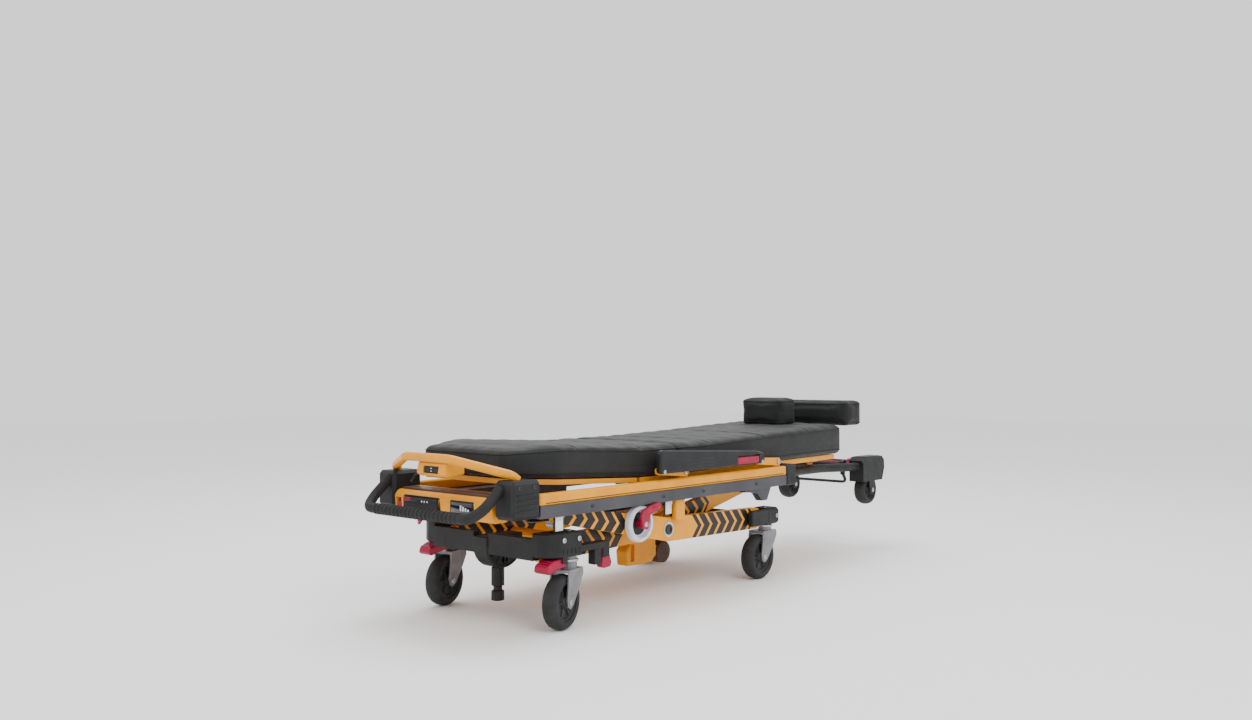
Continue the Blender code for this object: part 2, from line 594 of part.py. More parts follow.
def head_release_handle():
    """Red squeeze bar hung on the front cross tube that frees the head section."""
    x, z = along(1.945), 0.330
    parts = [box((x - 0.040, -0.082, z - 0.007), (x - 0.028, 0.082, z + 0.007), 0.002)]
    for y in (-0.070, 0.070):
        parts.append(cylinder((x, y - 0.008, z), (x, y + 0.008, z), 0.019, 14))
        parts.append(box((x - 0.030, y - 0.007, z - 0.006), (x - 0.010, y + 0.007, z + 0.006)))
    shape = cut(join(*parts), bar_across(x, z, 0.0138, 0.10))
    node("head_release_handle", shape, RED, "head_release")


# ---------------------------------------------------------------- leg frames
def leg_beam(side, lane, low_first, depth_low, depth_high, depth_middle):
    """Beam from a lower pivot to an upper one, bent at the crossing pivot, with rounded ends."""
    ys = sorted((side * lane[0], side * lane[1]))
    outline = rounded_link(LOWER_LENGTH + UPPER_LENGTH, depth_low / 2.0, depth_high / 2.0)
    placed = []
    for i, (u, v) in enumerate(outline):
        if (u > LOWER_LENGTH) != (outline[i - 1][0] > LOWER_LENGTH):
            placed.append(leg_point(low_first, 0.0, math.copysign(depth_middle / 2.0, v)))
        placed.append(leg_point(low_first, u - LOWER_LENGTH, v))
    return prism(placed, "Y", *ys)


def leg_point(low_first, distance, rise):
    """World X and Z of a point on a leg, distance from the crossing pivot towards its top."""
    toward = 1.0 if low_first else -1.0
    angle = UPPER_ANGLE if distance > 0.0 else LOWER_ANGLE
    cos, sin = math.cos(angle), math.sin(angle)
    x = along(SCISSOR_SPAN / 2.0) + toward * (distance * cos - rise * sin)
    return x, PIVOT_Z + distance * sin + rise * cos


def bar_across(x, z, radius, half, steps=14):
    return cylinder((x, -half, z), (x, half, z), radius, steps)


def inner_leg_frame():
    beams = [leg_beam(side, INNER_LANE, True, 0.070, 0.044, 0.066) for side in SIDES.values()]
    brace_x, brace_z = leg_point(True, -0.250, -0.013)
    ram_x, ram_z = leg_point(True, RAM_REACH, RAM_RISE)
    pins = [across(side, along(SCISSOR_SPAN / 2.0), PIVOT_Z, 0.012, (0.180, 0.2565))
            for side in SIDES.values()]
    spacers = [across(side, along(SCISSOR_SPAN / 2.0), PIVOT_Z, 0.020, (0.190, 0.2285))
               for side in SIDES.values()]
    shape = join(beams[0], beams[1], bar_across(brace_x, brace_z, 0.016, 0.185),
                 bar_across(ram_x, ram_z, 0.010, 0.185), *pins, *spacers)
    bores = [bar_across(along(0.0), LEG_LOW_Z, BASE_TUBE_RADIUS + 0.0010, 0.22, 18),
             bar_across(along(SCISSOR_SPAN), LEG_TOP_Z, 0.0078, 0.22)]
    node("inner_leg_frame", cut(shape, *bores), YELLOW, "inner_legs")


def outer_leg_frame():
    beams = [leg_beam(side, OUTER_LANE, False, 0.070, 0.046, 0.074) for side in SIDES.values()]
    foot_brace = leg_point(False, RAM_REACH, 0.010)
    ram_x, ram_z = leg_point(False, RAM_REACH, RAM_RISE)
    lugs = [side_box(side, (ram_x - 0.011, ram_x + 0.011), (0.0155, 0.0205),
                     (ram_z - 0.011, foot_brace[1] + 0.004)) for side in SIDES.values()]
    head_brace = leg_point(False, -0.380, 0.0)
    hanger = leg_point(False, *HANGER)
    rollers = [join(across(side, along(0.0), LEG_TOP_Z, ROLLER_RADIUS, (0.2065, 0.2265)),
                    across(side, along(0.0), LEG_TOP_Z, 0.008, (0.220, 0.240)))
               for side in SIDES.values()]
    shape = join(beams[0], beams[1], bar_across(*foot_brace, 0.010, 0.242),
                 bar_across(*head_brace, 0.014, 0.242), bar_across(*hanger, 0.011, 0.242),
                 bar_across(ram_x, ram_z, 0.010, 0.0205), *lugs, *rollers)
    pivot_bore = bar_across(along(SCISSOR_SPAN / 2.0), PIVOT_Z, 0.0130, 0.27)
    base_bore = bar_across(along(SCISSOR_SPAN), LEG_LOW_Z, BASE_TUBE_RADIUS + 0.0010, 0.27, 18)
    node("outer_leg_frame", cut(shape, pivot_bore, base_bore), YELLOW, "outer_legs")


def power_unit():
    """Pump in an amber cover with a slot, and its motor, hanging from the outer legs' tube."""
    x, z = leg_point(False, *HANGER)
    cover = prism([(x - 0.074, 0.082), (x - 0.080, 0.130), (x - 0.034, z - 0.015), (x + 0.030, z - 0.015),
                   (x + 0.070, 0.158), (x + 0.074, 0.104), (x + 0.050, 0.080)], "Y", -0.062, -0.014, 0.004)
    lugs = [box((x - 0.016, y - 0.007, z - 0.030), (x + 0.016, y + 0.007, z + 0.016))
            for y in (-0.053, -0.023)]
    slot = box((x - 0.060, -0.080, 0.094), (x - 0.040, -0.050, 0.150))
    neck = box((x + 0.050, -0.050, 0.095), (x + 0.100, -0.024, 0.130))
    motor = cylinder((x + 0.118, -0.056, 0.106), (x + 0.118, 0.046, 0.106), 0.036, 20)
    shape = cut(join(cover, neck, motor, *lugs), slot, bar_across(x, z, 0.0118, 0.10))
    node("power_unit", shape, YELLOW, "outer_legs")


def ram():
    """Hydraulic cylinder on the inner legs and its rod on the outer legs, always level."""
    barrel_x, z = leg_point(True, RAM_REACH, RAM_RISE)
    rod_x = leg_point(False, RAM_REACH, RAM_RISE)[0]
    barrel = join(cylinder((barrel_x - 0.018, 0, z), (barrel_x - 0.260, 0, z), 0.0200, 20),
                  cylinder((barrel_x, -0.014, z), (barrel_x, 0.014, z), 0.0175, 20),
                  box((barrel_x - 0.021, -0.012, z - 0.012), (barrel_x - 0.006, 0.012, z + 0.012)))
    barrel = cut(barrel, cylinder((barrel_x - 0.0235, 0, z), (barrel_x - 0.300, 0, z), 0.0140, 20),
                 bar_across(barrel_x, z, 0.0108, 0.05))
    node("cylinder_barrel", barrel, STEEL, "cylinder_barrel")
    rod = join(cylinder((rod_x + 0.012, 0, z), (rod_x + 0.256, 0, z), 0.0085, 16),
               cylinder((rod_x + 0.243, 0, z), (rod_x + 0.255, 0, z), 0.0132, 20),
               cylinder((rod_x, -0.014, z), (rod_x, 0.014, z), 0.0175, 20))
    node("cylinder_rod", cut(rod, bar_across(rod_x, z, 0.0108, 0.05)), STEEL, "cylinder_rod")


def leg_lock():
    """Round leg lock on the left outer leg, with its red lever outside the rail."""
    x, z = along(LOCK_X), LOCK_Z
    ring = turned([(0.2545, 0.030), (0.2545, 0.050), (0.260, 0.055), (0.274, 0.055), (0.280, 0.051),
                   (0.280, 0.043), (0.265, 0.042), (0.265, 0.030)], (x, 0.0, z), (0, -1, 0), 24)
    plug = cylinder((x, -0.2545, z), (x, -0.2648, z), 0.034, 16)
    node("leg_lock_ring", join(ring, plug), RING, "outer_legs")
    hub = cylinder((x, -0.2652, z), (x, -0.2900, z), 0.013, 16)
    lever = prism([(x - 0.014, z - 0.012), (x + 0.010, z - 0.016), (x + 0.018, z + 0.004),
                   (x + 0.022, z + 0.026), (x + 0.060, z + 0.038), (x + 0.074, z + 0.045),
                   (x + 0.074, z + 0.054), (x + 0.062, z + 0.060), (x + 0.020, z + 0.052),
                   (x - 0.010, z + 0.042), (x - 0.020, z + 0.022)], "Y", -0.2962, -0.2848, 0.002)
    node("leg_lock_lever", join(lever, hub), RED, "leg_lock")


# ---------------------------------------------------------------- bases
def stem_bore(x, side, z):
    return cylinder((x, side * STEM_Y, z - 0.05), (x, side * STEM_Y, z + 0.030), 0.0098, 14)


def foot_base():
    """Cross tube, deep beam and the two caster housings; it stays level as the legs open."""
    stem_x = along(FOOT_STEM)
    parts = []
    for side in SIDES.values():
        plan = [(-0.064, 0.206), (-0.064, 0.236), (-0.050, 0.262), (-0.022, 0.2785), (0.066, 0.2785),
                (0.066, 0.206)]
        parts.append(prism([(along(d), side * y) for d, y in plan], "Z", 0.199, 0.266, 0.004))
        parts.append(side_box(side, (along(-0.064), along(-0.041)), (0.0310, 0.2120), (0.190, 0.249), 0.0))
        for low, high in ((-0.0315, -0.0265), (0.0265, 0.0315)):
            parts.append(side_box(side, (along(PEDAL_X - 0.009), along(PEDAL_X + 0.009)),
                                  (STEM_Y + low, STEM_Y + high), (PEDAL_Z - 0.006, 0.206)))
        parts.append(across(side, along(PEDAL_X), PEDAL_Z, 0.004, (STEM_Y - 0.029, STEM_Y + 0.029), 12))
    parts.append(side_box(-1.0, (along(0.050), along(0.192)), (0.2320, 0.2660), (0.205, 0.222)))
    parts.append(side_box(-1.0, (along(0.134), along(0.161)), (0.2360, 0.2620), (0.160, 0.208)))
    for lane in ((0.2320, 0.2362), (0.2618, 0.2660)):
        parts.append(side_box(-1.0, (along(0.166), along(0.192)), lane, (STEER_Z - 0.008, 0.208)))
    parts.append(across(-1.0, along(STEER_X), STEER_Z, 0.004, (0.2340, 0.2640), 12))
    shape = join(bar_across(along(0.0), LEG_LOW_Z, BASE_TUBE_RADIUS, 0.219, 18), *parts)
    shape = cut(shape, *[stem_bore(stem_x, side, 0.199) for side in SIDES.values()])
    node("foot_base", shape, BLACK, "foot_base")


def head_base():
    """Cross tube through the outer legs' lower ends, with cheeks and arms to the caster housings."""
    stem_x = along(HEAD_STEM)
    shape = bar_across(along(SCISSOR_SPAN), LEG_LOW_Z, BASE_TUBE_RADIUS, 0.2600, 18)
    parts = []
    for side in SIDES.values():
        parts.append(side_box(side, (along(0.999), along(1.074)), (0.2060, 0.2785), (0.184, 0.240), 0.009))
        parts.append(side_box(side, (along(0.945), along(1.020)), (0.203, 0.2265), (0.192, 0.230)))
        parts.append(side_box(side, (along(0.908), along(1.020)), (0.2565, 0.2770), (0.186, 0.238), 0.004))
    shape = cut(join(shape, *parts), *[stem_bore(stem_x, side, 0.184) for side in SIDES.values()])
    node("head_base", shape, BLACK, "head_base")


def post_parts():
    """Half-round bracket on the foot tube and the retaining post that hangs from it."""
    x = along(0.003)
    outline = []
    for k in range(13):
        angle = math.pi + math.pi * k / 12.0
        outline.append((x + 0.072 * math.cos(angle), 0.212 + 0.070 * math.sin(angle)))
    outline += [(x + 0.072, 0.238), (x - 0.072, 0.238)]
    shape = prism(outline, "Y", -0.030, 0.030, 0.003)
    bore = bar_across(along(0.0), LEG_LOW_Z, BASE_TUBE_RADIUS + GAP, 0.10, 18)
    holes = [cylinder((x + dx, -0.05, 0.205 - dz), (x + dx, 0.05, 0.205 - dz), 0.012, 12)
             for dx, dz in ((-0.045, 0.012), (0.045, 0.012), (0.0, 0.038))]
    node("post_bracket", cut(shape, bore, *holes), BLACK, "foot_base")
    post = turned([(0.0, 0.0005), (0.0, 0.019), (0.027, 0.019), (0.030, 0.013), (0.040, 0.013),
                   (0.043, 0.019), (0.0945, 0.019), (0.0945, 0.0005)], (x, 0.0, 0.0465), (0, 0, 1), 14)
    plug = cylinder((x, 0.0, 0.0465), (x, 0.0, 0.141), 0.004, 8)
    node("retaining_post", join(post, plug), BLACK, "foot_base")


# ---------------------------------------------------------------- casters
def caster(end, side):
    """Swivel fork with stem, and the wheel trailing behind it."""
    label = f"{end}_{name_of(side)}"
    start, swivel = (FOOT_STEM, FOOT_SWIVEL) if end == "foot" else (HEAD_STEM, HEAD_SWIVEL)
    housing_z = 0.199 if end == "foot" else 0.184
    stem = Vector((along(start), side * STEM_Y, 0.0))
    turn = Matrix.Translation(stem) @ Matrix.Rotation(swivel, 4, "Z")
    z = AXLE_Z
    fork_y = (WHEEL_WIDTH / 2.0 + 0.003, WHEEL_WIDTH / 2.0 + 0.008)
    parts = [cylinder((0, 0, 0.163), (0, 0, housing_z + 0.028), 0.0090, 12),
             cylinder((0, 0, 0.158), (0, 0, housing_z - 0.0008), 0.0240, 16, 0.0210),
             box((-0.052, -fork_y[1], 0.156), (0.026, fork_y[1], 0.164), 0.0)]
    for leg in (-1.0, 1.0):
        ys = sorted((leg * fork_y[0], leg * fork_y[1]))
        parts.append(prism([(0.026, 0.162), (-0.052, 0.162), (-TRAIL - 0.017, z + 0.010),
                            (-TRAIL - 0.014, z - 0.010), (-TRAIL, z - 0.018), (-TRAIL + 0.016, z - 0.008),
                            (0.012, 0.120), (0.028, 0.148)], "Y", *ys))
    parts.append(cylinder((-TRAIL, -fork_y[1] - 0.004, z), (-TRAIL, fork_y[1] + 0.004, z), 0.006, 10))
    node(f"caster_fork_{label}", transform(join(*parts), turn), FORK, f"swivel_{label}")
    half = WHEEL_WIDTH / 2.0
    r = WHEEL_RADIUS
    profile = [(-half + 0.002, 0.0068), (-half + 0.004, 0.048), (-half, 0.052), (-half, r - 0.014),
               (-0.009, r), (0.009, r), (half, r - 0.014), (half, 0.052), (half - 0.004, 0.048),
               (half - 0.002, 0.0068)]
    wheel = turned(profile, (-TRAIL, 0.0, z), (0, 1, 0), WHEEL_STEPS)
    node(f"caster_wheel_{label}", transform(wheel, turn), TYRE, f"wheel_{label}")


def brake_pedal(side):
    """Red wheel lock pedal hinged under a foot caster housing."""
    outline = [(0.005, 0.196), (0.005, 0.171), (-0.020, 0.168), (-0.060, 0.157),
               (-0.071, 0.165), (-0.066, 0.181), (-0.040, 0.193), (-0.018, 0.196)]
    ys = sorted((side * (STEM_Y - 0.026), side * (STEM_Y + 0.026)))
    shape = prism([(along(d), z) for d, z in outline], "Y", *ys, 0.003)
    shape = cut(shape, across(side, along(PEDAL_X), PEDAL_Z, 0.0046, (STEM_Y - 0.04, STEM_Y + 0.04), 12))
    node(f"brake_pedal_{name_of(side)}", shape, RED, f"brake_{name_of(side)}")


def steer_lock_pedal():
    """Red pedal headward of the left foot housing that holds the casters straight."""
    outline = [(0.167, 0.196), (0.167, 0.150), (0.176, 0.144), (0.204, 0.147),
               (0.208, 0.160), (0.197, 0.190), (0.190, 0.196)]
    shape = prism([(along(d), z) for d, z in outline], "Y", -0.2612, -0.2368, 0.002)
    shape = cut(shape, across(-1.0, along(STEER_X), STEER_Z, 0.0046, (0.22, 0.28), 12))
    node("steer_lock_pedal", shape, RED, "steer_lock")


# ---------------------------------------------------------------- assembly
def name_of(side):
    return "left" if side < 0 else "right"


def make_bodies():
    centre_x = along(SCISSOR_SPAN / 2.0)
    body("litter", (0, 0, 0), None)
    body("battery_pack", (along(-0.184), 0.083, 0.337))
    body("manual_release", (along(-0.189), 0.185, 0.338))
    body("height_switch", (along(-0.253), SWITCH_Y, 0.442))
    body("leg_section", (along(KNEE_X), 0, DECK_TOP))
    body("backrest", (along(HIP_X), 0, DECK_TOP))
    lift = about(along(HIP_X), DECK_TOP, BACK_SLOPE)
    body("backrest_release", lift @ Vector((along(1.500), 0, RELEASE_Z)), "backrest")
    body("head_extension", lift @ Vector((along(1.580), 0, EXTENSION_Z)), "backrest")
    for label in SIDES:
        side = SIDES[label]
        for which, distance in (("foot", ARM_FOOT_X), ("head", ARM_HEAD_X)):
            body(f"{which}_arm_{label}", (along(distance), side * 0.268, BAR_RISE_Z))
        foot_x, pin_z = arm_end(along(ARM_FOOT_X))
        body(f"siderail_bar_{label}", (foot_x, side * 0.270, pin_z), f"foot_arm_{label}")
        head_x = arm_end(along(ARM_HEAD_X))[0]
        body(f"siderail_latch_{label}", (head_x - 0.082, side * 0.284, 0.416), f"siderail_bar_{label}")
    body("head_section", (along(1.2), 0, SLIDE_Z))
    for label in SIDES:
        body(f"load_wheel_{label}", (along(LOAD_WHEEL_X), SIDES[label] * LOAD_WHEEL_Y, LOAD_WHEEL_Z),
             "head_section")
    body("safety_bar", (along(1.785), 0, 0.330), "head_section")
    body("head_release", (along(1.945), 0, 0.330), "head_section")
    body("inner_legs", (along(SCISSOR_SPAN), 0, LEG_TOP_Z))
    body("outer_legs", (centre_x, 0, PIVOT_Z), "inner_legs")
    body("leg_lock", (along(LOCK_X), -0.280, LOCK_Z), "outer_legs")
    body("foot_base", (along(0.0), 0, LEG_LOW_Z), "inner_legs")
    body("head_base", (along(SCISSOR_SPAN), 0, LEG_LOW_Z), "outer_legs")
    barrel_x, ram_z = leg_point(True, RAM_REACH, RAM_RISE)
    body("cylinder_barrel", (barrel_x, 0, ram_z), "inner_legs")
    body("cylinder_rod", (leg_point(False, RAM_REACH, RAM_RISE)[0], 0, ram_z), "outer_legs")
    for end, start, swivel in (("foot", FOOT_STEM, FOOT_SWIVEL), ("head", HEAD_STEM, HEAD_SWIVEL)):
        for label in SIDES:
            stem_y = SIDES[label] * STEM_Y
            body(f"swivel_{end}_{label}", (along(start), stem_y, 0.18), f"{end}_base")
            axle = (along(start) - TRAIL * math.cos(swivel), stem_y - TRAIL * math.sin(swivel), AXLE_Z)
            body(f"wheel_{end}_{label}", axle, f"swivel_{end}_{label}")
    for label in SIDES:
        body(f"brake_{label}", (along(PEDAL_X), SIDES[label] * STEM_Y, PEDAL_Z), "foot_base")
    body("steer_lock", (along(STEER_X), -0.249, STEER_Z), "foot_base")


def build():
    for old in list(bpy.data.objects):
        bpy.data.objects.remove(old)
    make_bodies()
    for side in SIDES.values():
        rail_track(side)
        side_rail(side)
        foot_corner(side)
        siderail(side)
        load_wheel(side)
        brake_pedal(side)
        for end in ("foot", "head"):
            caster(end, side)
    head_end_casting()
    mid_guide()
    lower_lift_bar()
    upper_lift_bar()
    control_box()
    height_switch()
    console_housing()
    battery_pack()
    manual_release_lever()
    seat_deck()
    leg_deck()
    back_deck()
    head_extension()
    head_section()
    safety_bar()
    head_release_handle()
    inner_leg_frame()
    outer_leg_frame()
    power_unit()
    ram()
    leg_lock()
    foot_base()
    head_base()
    steer_lock_pedal()
    post_parts()


build()
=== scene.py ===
"""Looks of the ambulance cot: soft pieces, wheels, small hardware, materials, light and camera."""
import json
import math

import bmesh
import bpy
import numpy as np
from mathutils import Matrix, Vector
from mathutils.bvhtree import BVHTree


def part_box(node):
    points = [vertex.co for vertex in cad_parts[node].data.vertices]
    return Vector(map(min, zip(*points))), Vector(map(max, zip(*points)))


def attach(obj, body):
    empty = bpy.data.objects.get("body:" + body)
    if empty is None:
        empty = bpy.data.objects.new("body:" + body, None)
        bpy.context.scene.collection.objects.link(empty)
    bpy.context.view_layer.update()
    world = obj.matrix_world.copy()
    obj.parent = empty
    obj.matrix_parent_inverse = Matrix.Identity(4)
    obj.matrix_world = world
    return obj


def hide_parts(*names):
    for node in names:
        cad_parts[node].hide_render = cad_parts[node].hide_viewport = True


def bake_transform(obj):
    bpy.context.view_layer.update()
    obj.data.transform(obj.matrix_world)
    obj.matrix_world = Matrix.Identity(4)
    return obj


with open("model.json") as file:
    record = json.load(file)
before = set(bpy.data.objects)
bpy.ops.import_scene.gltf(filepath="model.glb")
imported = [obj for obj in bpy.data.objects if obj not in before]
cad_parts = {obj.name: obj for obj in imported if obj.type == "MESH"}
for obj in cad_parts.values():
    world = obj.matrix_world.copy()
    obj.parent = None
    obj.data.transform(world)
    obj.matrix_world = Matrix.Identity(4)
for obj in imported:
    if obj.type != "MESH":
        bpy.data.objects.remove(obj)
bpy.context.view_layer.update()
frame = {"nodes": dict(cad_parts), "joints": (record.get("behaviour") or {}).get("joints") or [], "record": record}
NODES = frame["nodes"]
JOINTS = {joint["name"]: joint for joint in frame["joints"]}
SIDES = {"left": -1.0, "right": 1.0}


def pivot(name):
    return Vector(JOINTS[name]["pos_m"])


FOOT_X = pivot("foot_base_level").x


def along(distance):
    """World X of a point this far headward of the foot casters' axle line."""
    return FOOT_X + distance


# ---------------------------------------------------------------- material building
class Look:
    """A material under construction: its shader, and short calls for the nodes that feed it."""

    def __init__(self, name, roughness=0.5, metallic=0.0, **sockets):
        self.material = bpy.data.materials.new(name)
        self.material.use_nodes = True
        self.tree = self.material.node_tree
        self.shader = self.tree.nodes["Principled BSDF"]
        self.shader.inputs["Roughness"].default_value = roughness
        self.shader.inputs["Metallic"].default_value = metallic
        self.shader.inputs["Specular IOR Level"].default_value = 0.5 if metallic > 0.0 else 0.20
        for key, value in sockets.items():
            self.shader.inputs[key.replace("_", " ")].default_value = value
        self.place = self.tree.nodes.new("ShaderNodeTexCoord")

    def add(self, kind, values=(), **settings):
        """New node; values are (input, value or socket) pairs."""
        made = self.tree.nodes.new(kind)
        for key, value in settings.items():
            setattr(made, key, value)
        for key, value in values:
            if isinstance(value, bpy.types.NodeSocket):
                self.tree.links.new(value, made.inputs[key])
            else:
                made.inputs[key].default_value = value
        return made

    def math(self, operation, first, second=0.0):
        return self.add("ShaderNodeMath", [(0, first), (1, second)], operation=operation).outputs[0]

    def stretch(self, scale, turn=(0.0, 0.0, 0.0), shift=(0.0, 0.0, 0.0)):
        return self.add("ShaderNodeMapping", [("Vector", self.place.outputs["Object"]), ("Scale", scale),
                                              ("Rotation", turn), ("Location", shift)]).outputs[0]

    def noise(self, scale, detail=3.0, roughness=0.55, stretch=(1.0, 1.0, 1.0)):
        return self.add("ShaderNodeTexNoise", [("Vector", self.stretch(stretch)), ("Scale", scale),
                                               ("Detail", detail), ("Roughness", roughness)]).outputs["Fac"]

    def spread(self, value, low, high, to_low=0.0, to_high=1.0):
        return self.add("ShaderNodeMapRange", [("Value", value), ("From Min", low), ("From Max", high),
                                               ("To Min", to_low), ("To Max", to_high)]).outputs[0]

    def mix(self, factor, first, second):
        made = self.tree.nodes.new("ShaderNodeMix")
        made.data_type = "RGBA"
        for index, value in ((0, factor), (6, first), (7, second)):
            if isinstance(value, bpy.types.NodeSocket):
                self.tree.links.new(value, made.inputs[index])
            elif index == 0:
                made.inputs[0].default_value = value
            else:
                made.inputs[index].default_value = (*value, 1.0)
        return made.outputs[2]

    def bump(self, height, distance, strength=1.0, normal=None):
        values = [("Height", height), ("Distance", distance), ("Strength", strength)]
        if normal is not None:
            values.append(("Normal", normal))
        return self.add("ShaderNodeBump", values).outputs[0]

    def rounded(self, radius):
        """Shading normal with every edge softened by this radius."""
        return self.add("ShaderNodeBevel", [("Radius", radius)], samples=4).outputs[0]

    def edges(self, softened):
        """1 along worn edges, 0 on flats."""
        true = self.add("ShaderNodeNewGeometry").outputs["Normal"]
        dot = self.add("ShaderNodeVectorMath", [(0, softened), (1, true)], operation="DOT_PRODUCT")
        return self.spread(dot.outputs["Value"], 0.995, 0.86)

    def finish(self, colour=None, roughness=None, normal=None):
        for key, socket in (("Base Color", colour), ("Roughness", roughness), ("Normal", normal)):
            if isinstance(socket, bpy.types.NodeSocket):
                self.tree.links.new(socket, self.shader.inputs[key])
        return self.material


AMBER = (0.860, 0.350, 0.004)
AMBER_DARK = (0.700, 0.262, 0.003)
CHARCOAL = (0.0135, 0.0140, 0.0145)


def amber_paint(name, pattern=None):
    """Powder coat: fine orange peel, cloudy tone, edges rubbed lighter; pattern adds the dark chevrons."""
    look = Look(name, Coat_Weight=0.08, Coat_Roughness=0.2)
    soft = look.rounded(0.0016)
    cloud = look.spread(look.noise(9.0, 4.0), 0.35, 0.7)
    colour = look.mix(cloud, AMBER, AMBER_DARK)
    colour = look.mix(look.math("MULTIPLY", look.edges(soft), 0.55), colour, (0.90, 0.52, 0.08))
    if pattern is not None:
        colour = look.mix(pattern(look), colour, (0.016, 0.012, 0.012))
    scuffs = look.spread(look.noise(60.0, 6.0, 0.7, (1.0, 1.0, 3.0)), 0.45, 0.75, 0.30, 0.48)
    return look.finish(colour, scuffs, look.bump(look.noise(1500.0, 2.0), 0.00012, 0.35, soft))


def moulded(name, colour, roughness=0.5, grain=1900.0, worn=(0.085, 0.085, 0.088), edge=0.0016):
    """Grained plastic with paler rubbed edges."""
    look = Look(name)
    soft = look.rounded(edge)
    lighter = tuple(min(1.0, c * 1.5 + 0.002) for c in colour)
    tone = look.mix(look.spread(look.noise(14.0, 5.0), 0.35, 0.75), colour, lighter)
    tone = look.mix(look.math("MULTIPLY", look.edges(soft), 0.35), tone, worn)
    rough = look.spread(look.noise(45.0, 5.0, 0.7), 0.3, 0.75, roughness - 0.08, roughness + 0.12)
    return look.finish(tone, rough, look.bump(look.noise(grain, 2.0), 0.00018, 0.5, soft))


def extrusion(name):
    """Dark anodised aluminium with fine drawing lines along the cot."""
    look = Look(name, metallic=0.75)
    soft = look.rounded(0.0010)
    lines = look.noise(700.0, 3.0, 0.6, (0.01, 1.0, 1.0))
    tone = look.mix(look.spread(look.noise(7.0, 4.0), 0.3, 0.7), (0.060, 0.061, 0.070), (0.090, 0.090, 0.100))
    tone = look.mix(look.math("MULTIPLY", look.edges(soft), 0.5), tone, (0.34, 0.34, 0.36))
    return look.finish(tone, look.spread(lines, 0.3, 0.7, 0.34, 0.50), look.bump(lines, 0.00008, 0.4, soft))


def bare_metal(name, colour, roughness, stretch=(1.0, 1.0, 1.0)):
    look = Look(name, metallic=0.95)
    soft = look.rounded(0.0008)
    lines = look.noise(420.0, 4.0, 0.65, stretch)
    darker = tuple(c * 0.72 for c in colour)
    tone = look.mix(look.spread(look.noise(30.0, 5.0), 0.35, 0.75), colour, darker)
    return look.finish(tone, look.spread(lines, 0.25, 0.75, roughness - 0.07, roughness + 0.12),
                       look.bump(lines, 0.00006, 0.4, soft))


def painted_steel(name, colour):
    look = Look(name, metallic=0.45)
    soft = look.rounded(0.0012)
    grime = look.spread(look.noise(24.0, 6.0, 0.65), 0.42, 0.72)
    tone = look.mix(grime, colour, tuple(c * 0.70 for c in colour))
    tone = look.mix(look.math("MULTIPLY", look.edges(soft), 0.6), tone, (0.78, 0.78, 0.80))
    return look.finish(tone, look.spread(grime, 0.0, 1.0, 0.32, 0.46),
                       look.bump(look.noise(900.0, 2.0), 0.00010, 0.3, soft))


def rubber(name, colour=(0.021, 0.022, 0.023)):
    """Solid tread: matt, dusty, with fine moulding grain."""
    look = Look(name)
    soft = look.rounded(0.0012)
    dust = look.spread(look.noise(32.0, 6.0, 0.7), 0.45, 0.75)
    tone = look.mix(dust, colour, (0.045, 0.045, 0.043))
    return look.finish(tone, look.spread(dust, 0.0, 1.0, 0.62, 0.82),
                       look.bump(look.noise(1300.0, 3.0), 0.0002, 0.5, soft))


def cover_fabric(name, colour, sheen=0.12):
    """Coated woven cover: crossing threads, soft puckers, faint bloom."""
    look = Look(name, Sheen_Weight=sheen, Sheen_Roughness=0.45)
    threads = []
    for turn in (0.0, math.pi / 2.0):
        wave = look.add("ShaderNodeTexWave", [("Vector", look.stretch((1.0, 1.0, 1.0), (0.0, 0.0, turn))),
                                              ("Scale", 260.0), ("Distortion", 0.6), ("Detail", 1.0)])
        threads.append(wave.outputs["Fac"])
    weave = look.math("MULTIPLY", threads[0], threads[1])
    puckers = look.noise(26.0, 4.0, 0.55, (1.0, 0.7, 1.6))
    tone = look.mix(look.spread(look.noise(5.0, 4.0), 0.35, 0.7), colour, tuple(c * 1.55 for c in colour))
    tone = look.mix(look.spread(weave, 0.0, 1.0, 0.0, 0.35), tone, tuple(c * 0.6 for c in colour))
    rough = look.spread(look.noise(18.0, 5.0, 0.7), 0.3, 0.75, 0.52, 0.70)
    first = look.bump(weave, 0.00025, 0.35)
    return look.finish(tone, rough, look.bump(puckers, 0.0035, 0.35, first))


def glossy_red(name, colour=(0.36, 0.004, 0.040)):
    look = Look(name, Coat_Weight=0.15, Coat_Roughness=0.15)
    soft = look.rounded(0.0014)
    tone = look.mix(look.spread(look.noise(40.0, 4.0), 0.35, 0.7), colour, tuple(c * 0.7 for c in colour))
    tone = look.mix(look.math("MULTIPLY", look.edges(soft), 0.5), tone, (0.60, 0.03, 0.07))
    return look.finish(tone, look.spread(look.noise(120.0, 4.0), 0.3, 0.7, 0.26, 0.42),
                       look.bump(look.noise(1400.0, 2.0), 0.0001, 0.3, soft))


def screen_glass(name):
    look = Look(name, Coat_Weight=0.8, Coat_Roughness=0.04)
    smear = look.noise(90.0, 5.0, 0.7, (1.0, 1.0, 3.0))
    tone = look.mix(look.spread(smear, 0.4, 0.7), (0.010, 0.012, 0.016), (0.020, 0.022, 0.028))
    return look.finish(tone, look.spread(smear, 0.3, 0.7, 0.06, 0.16))


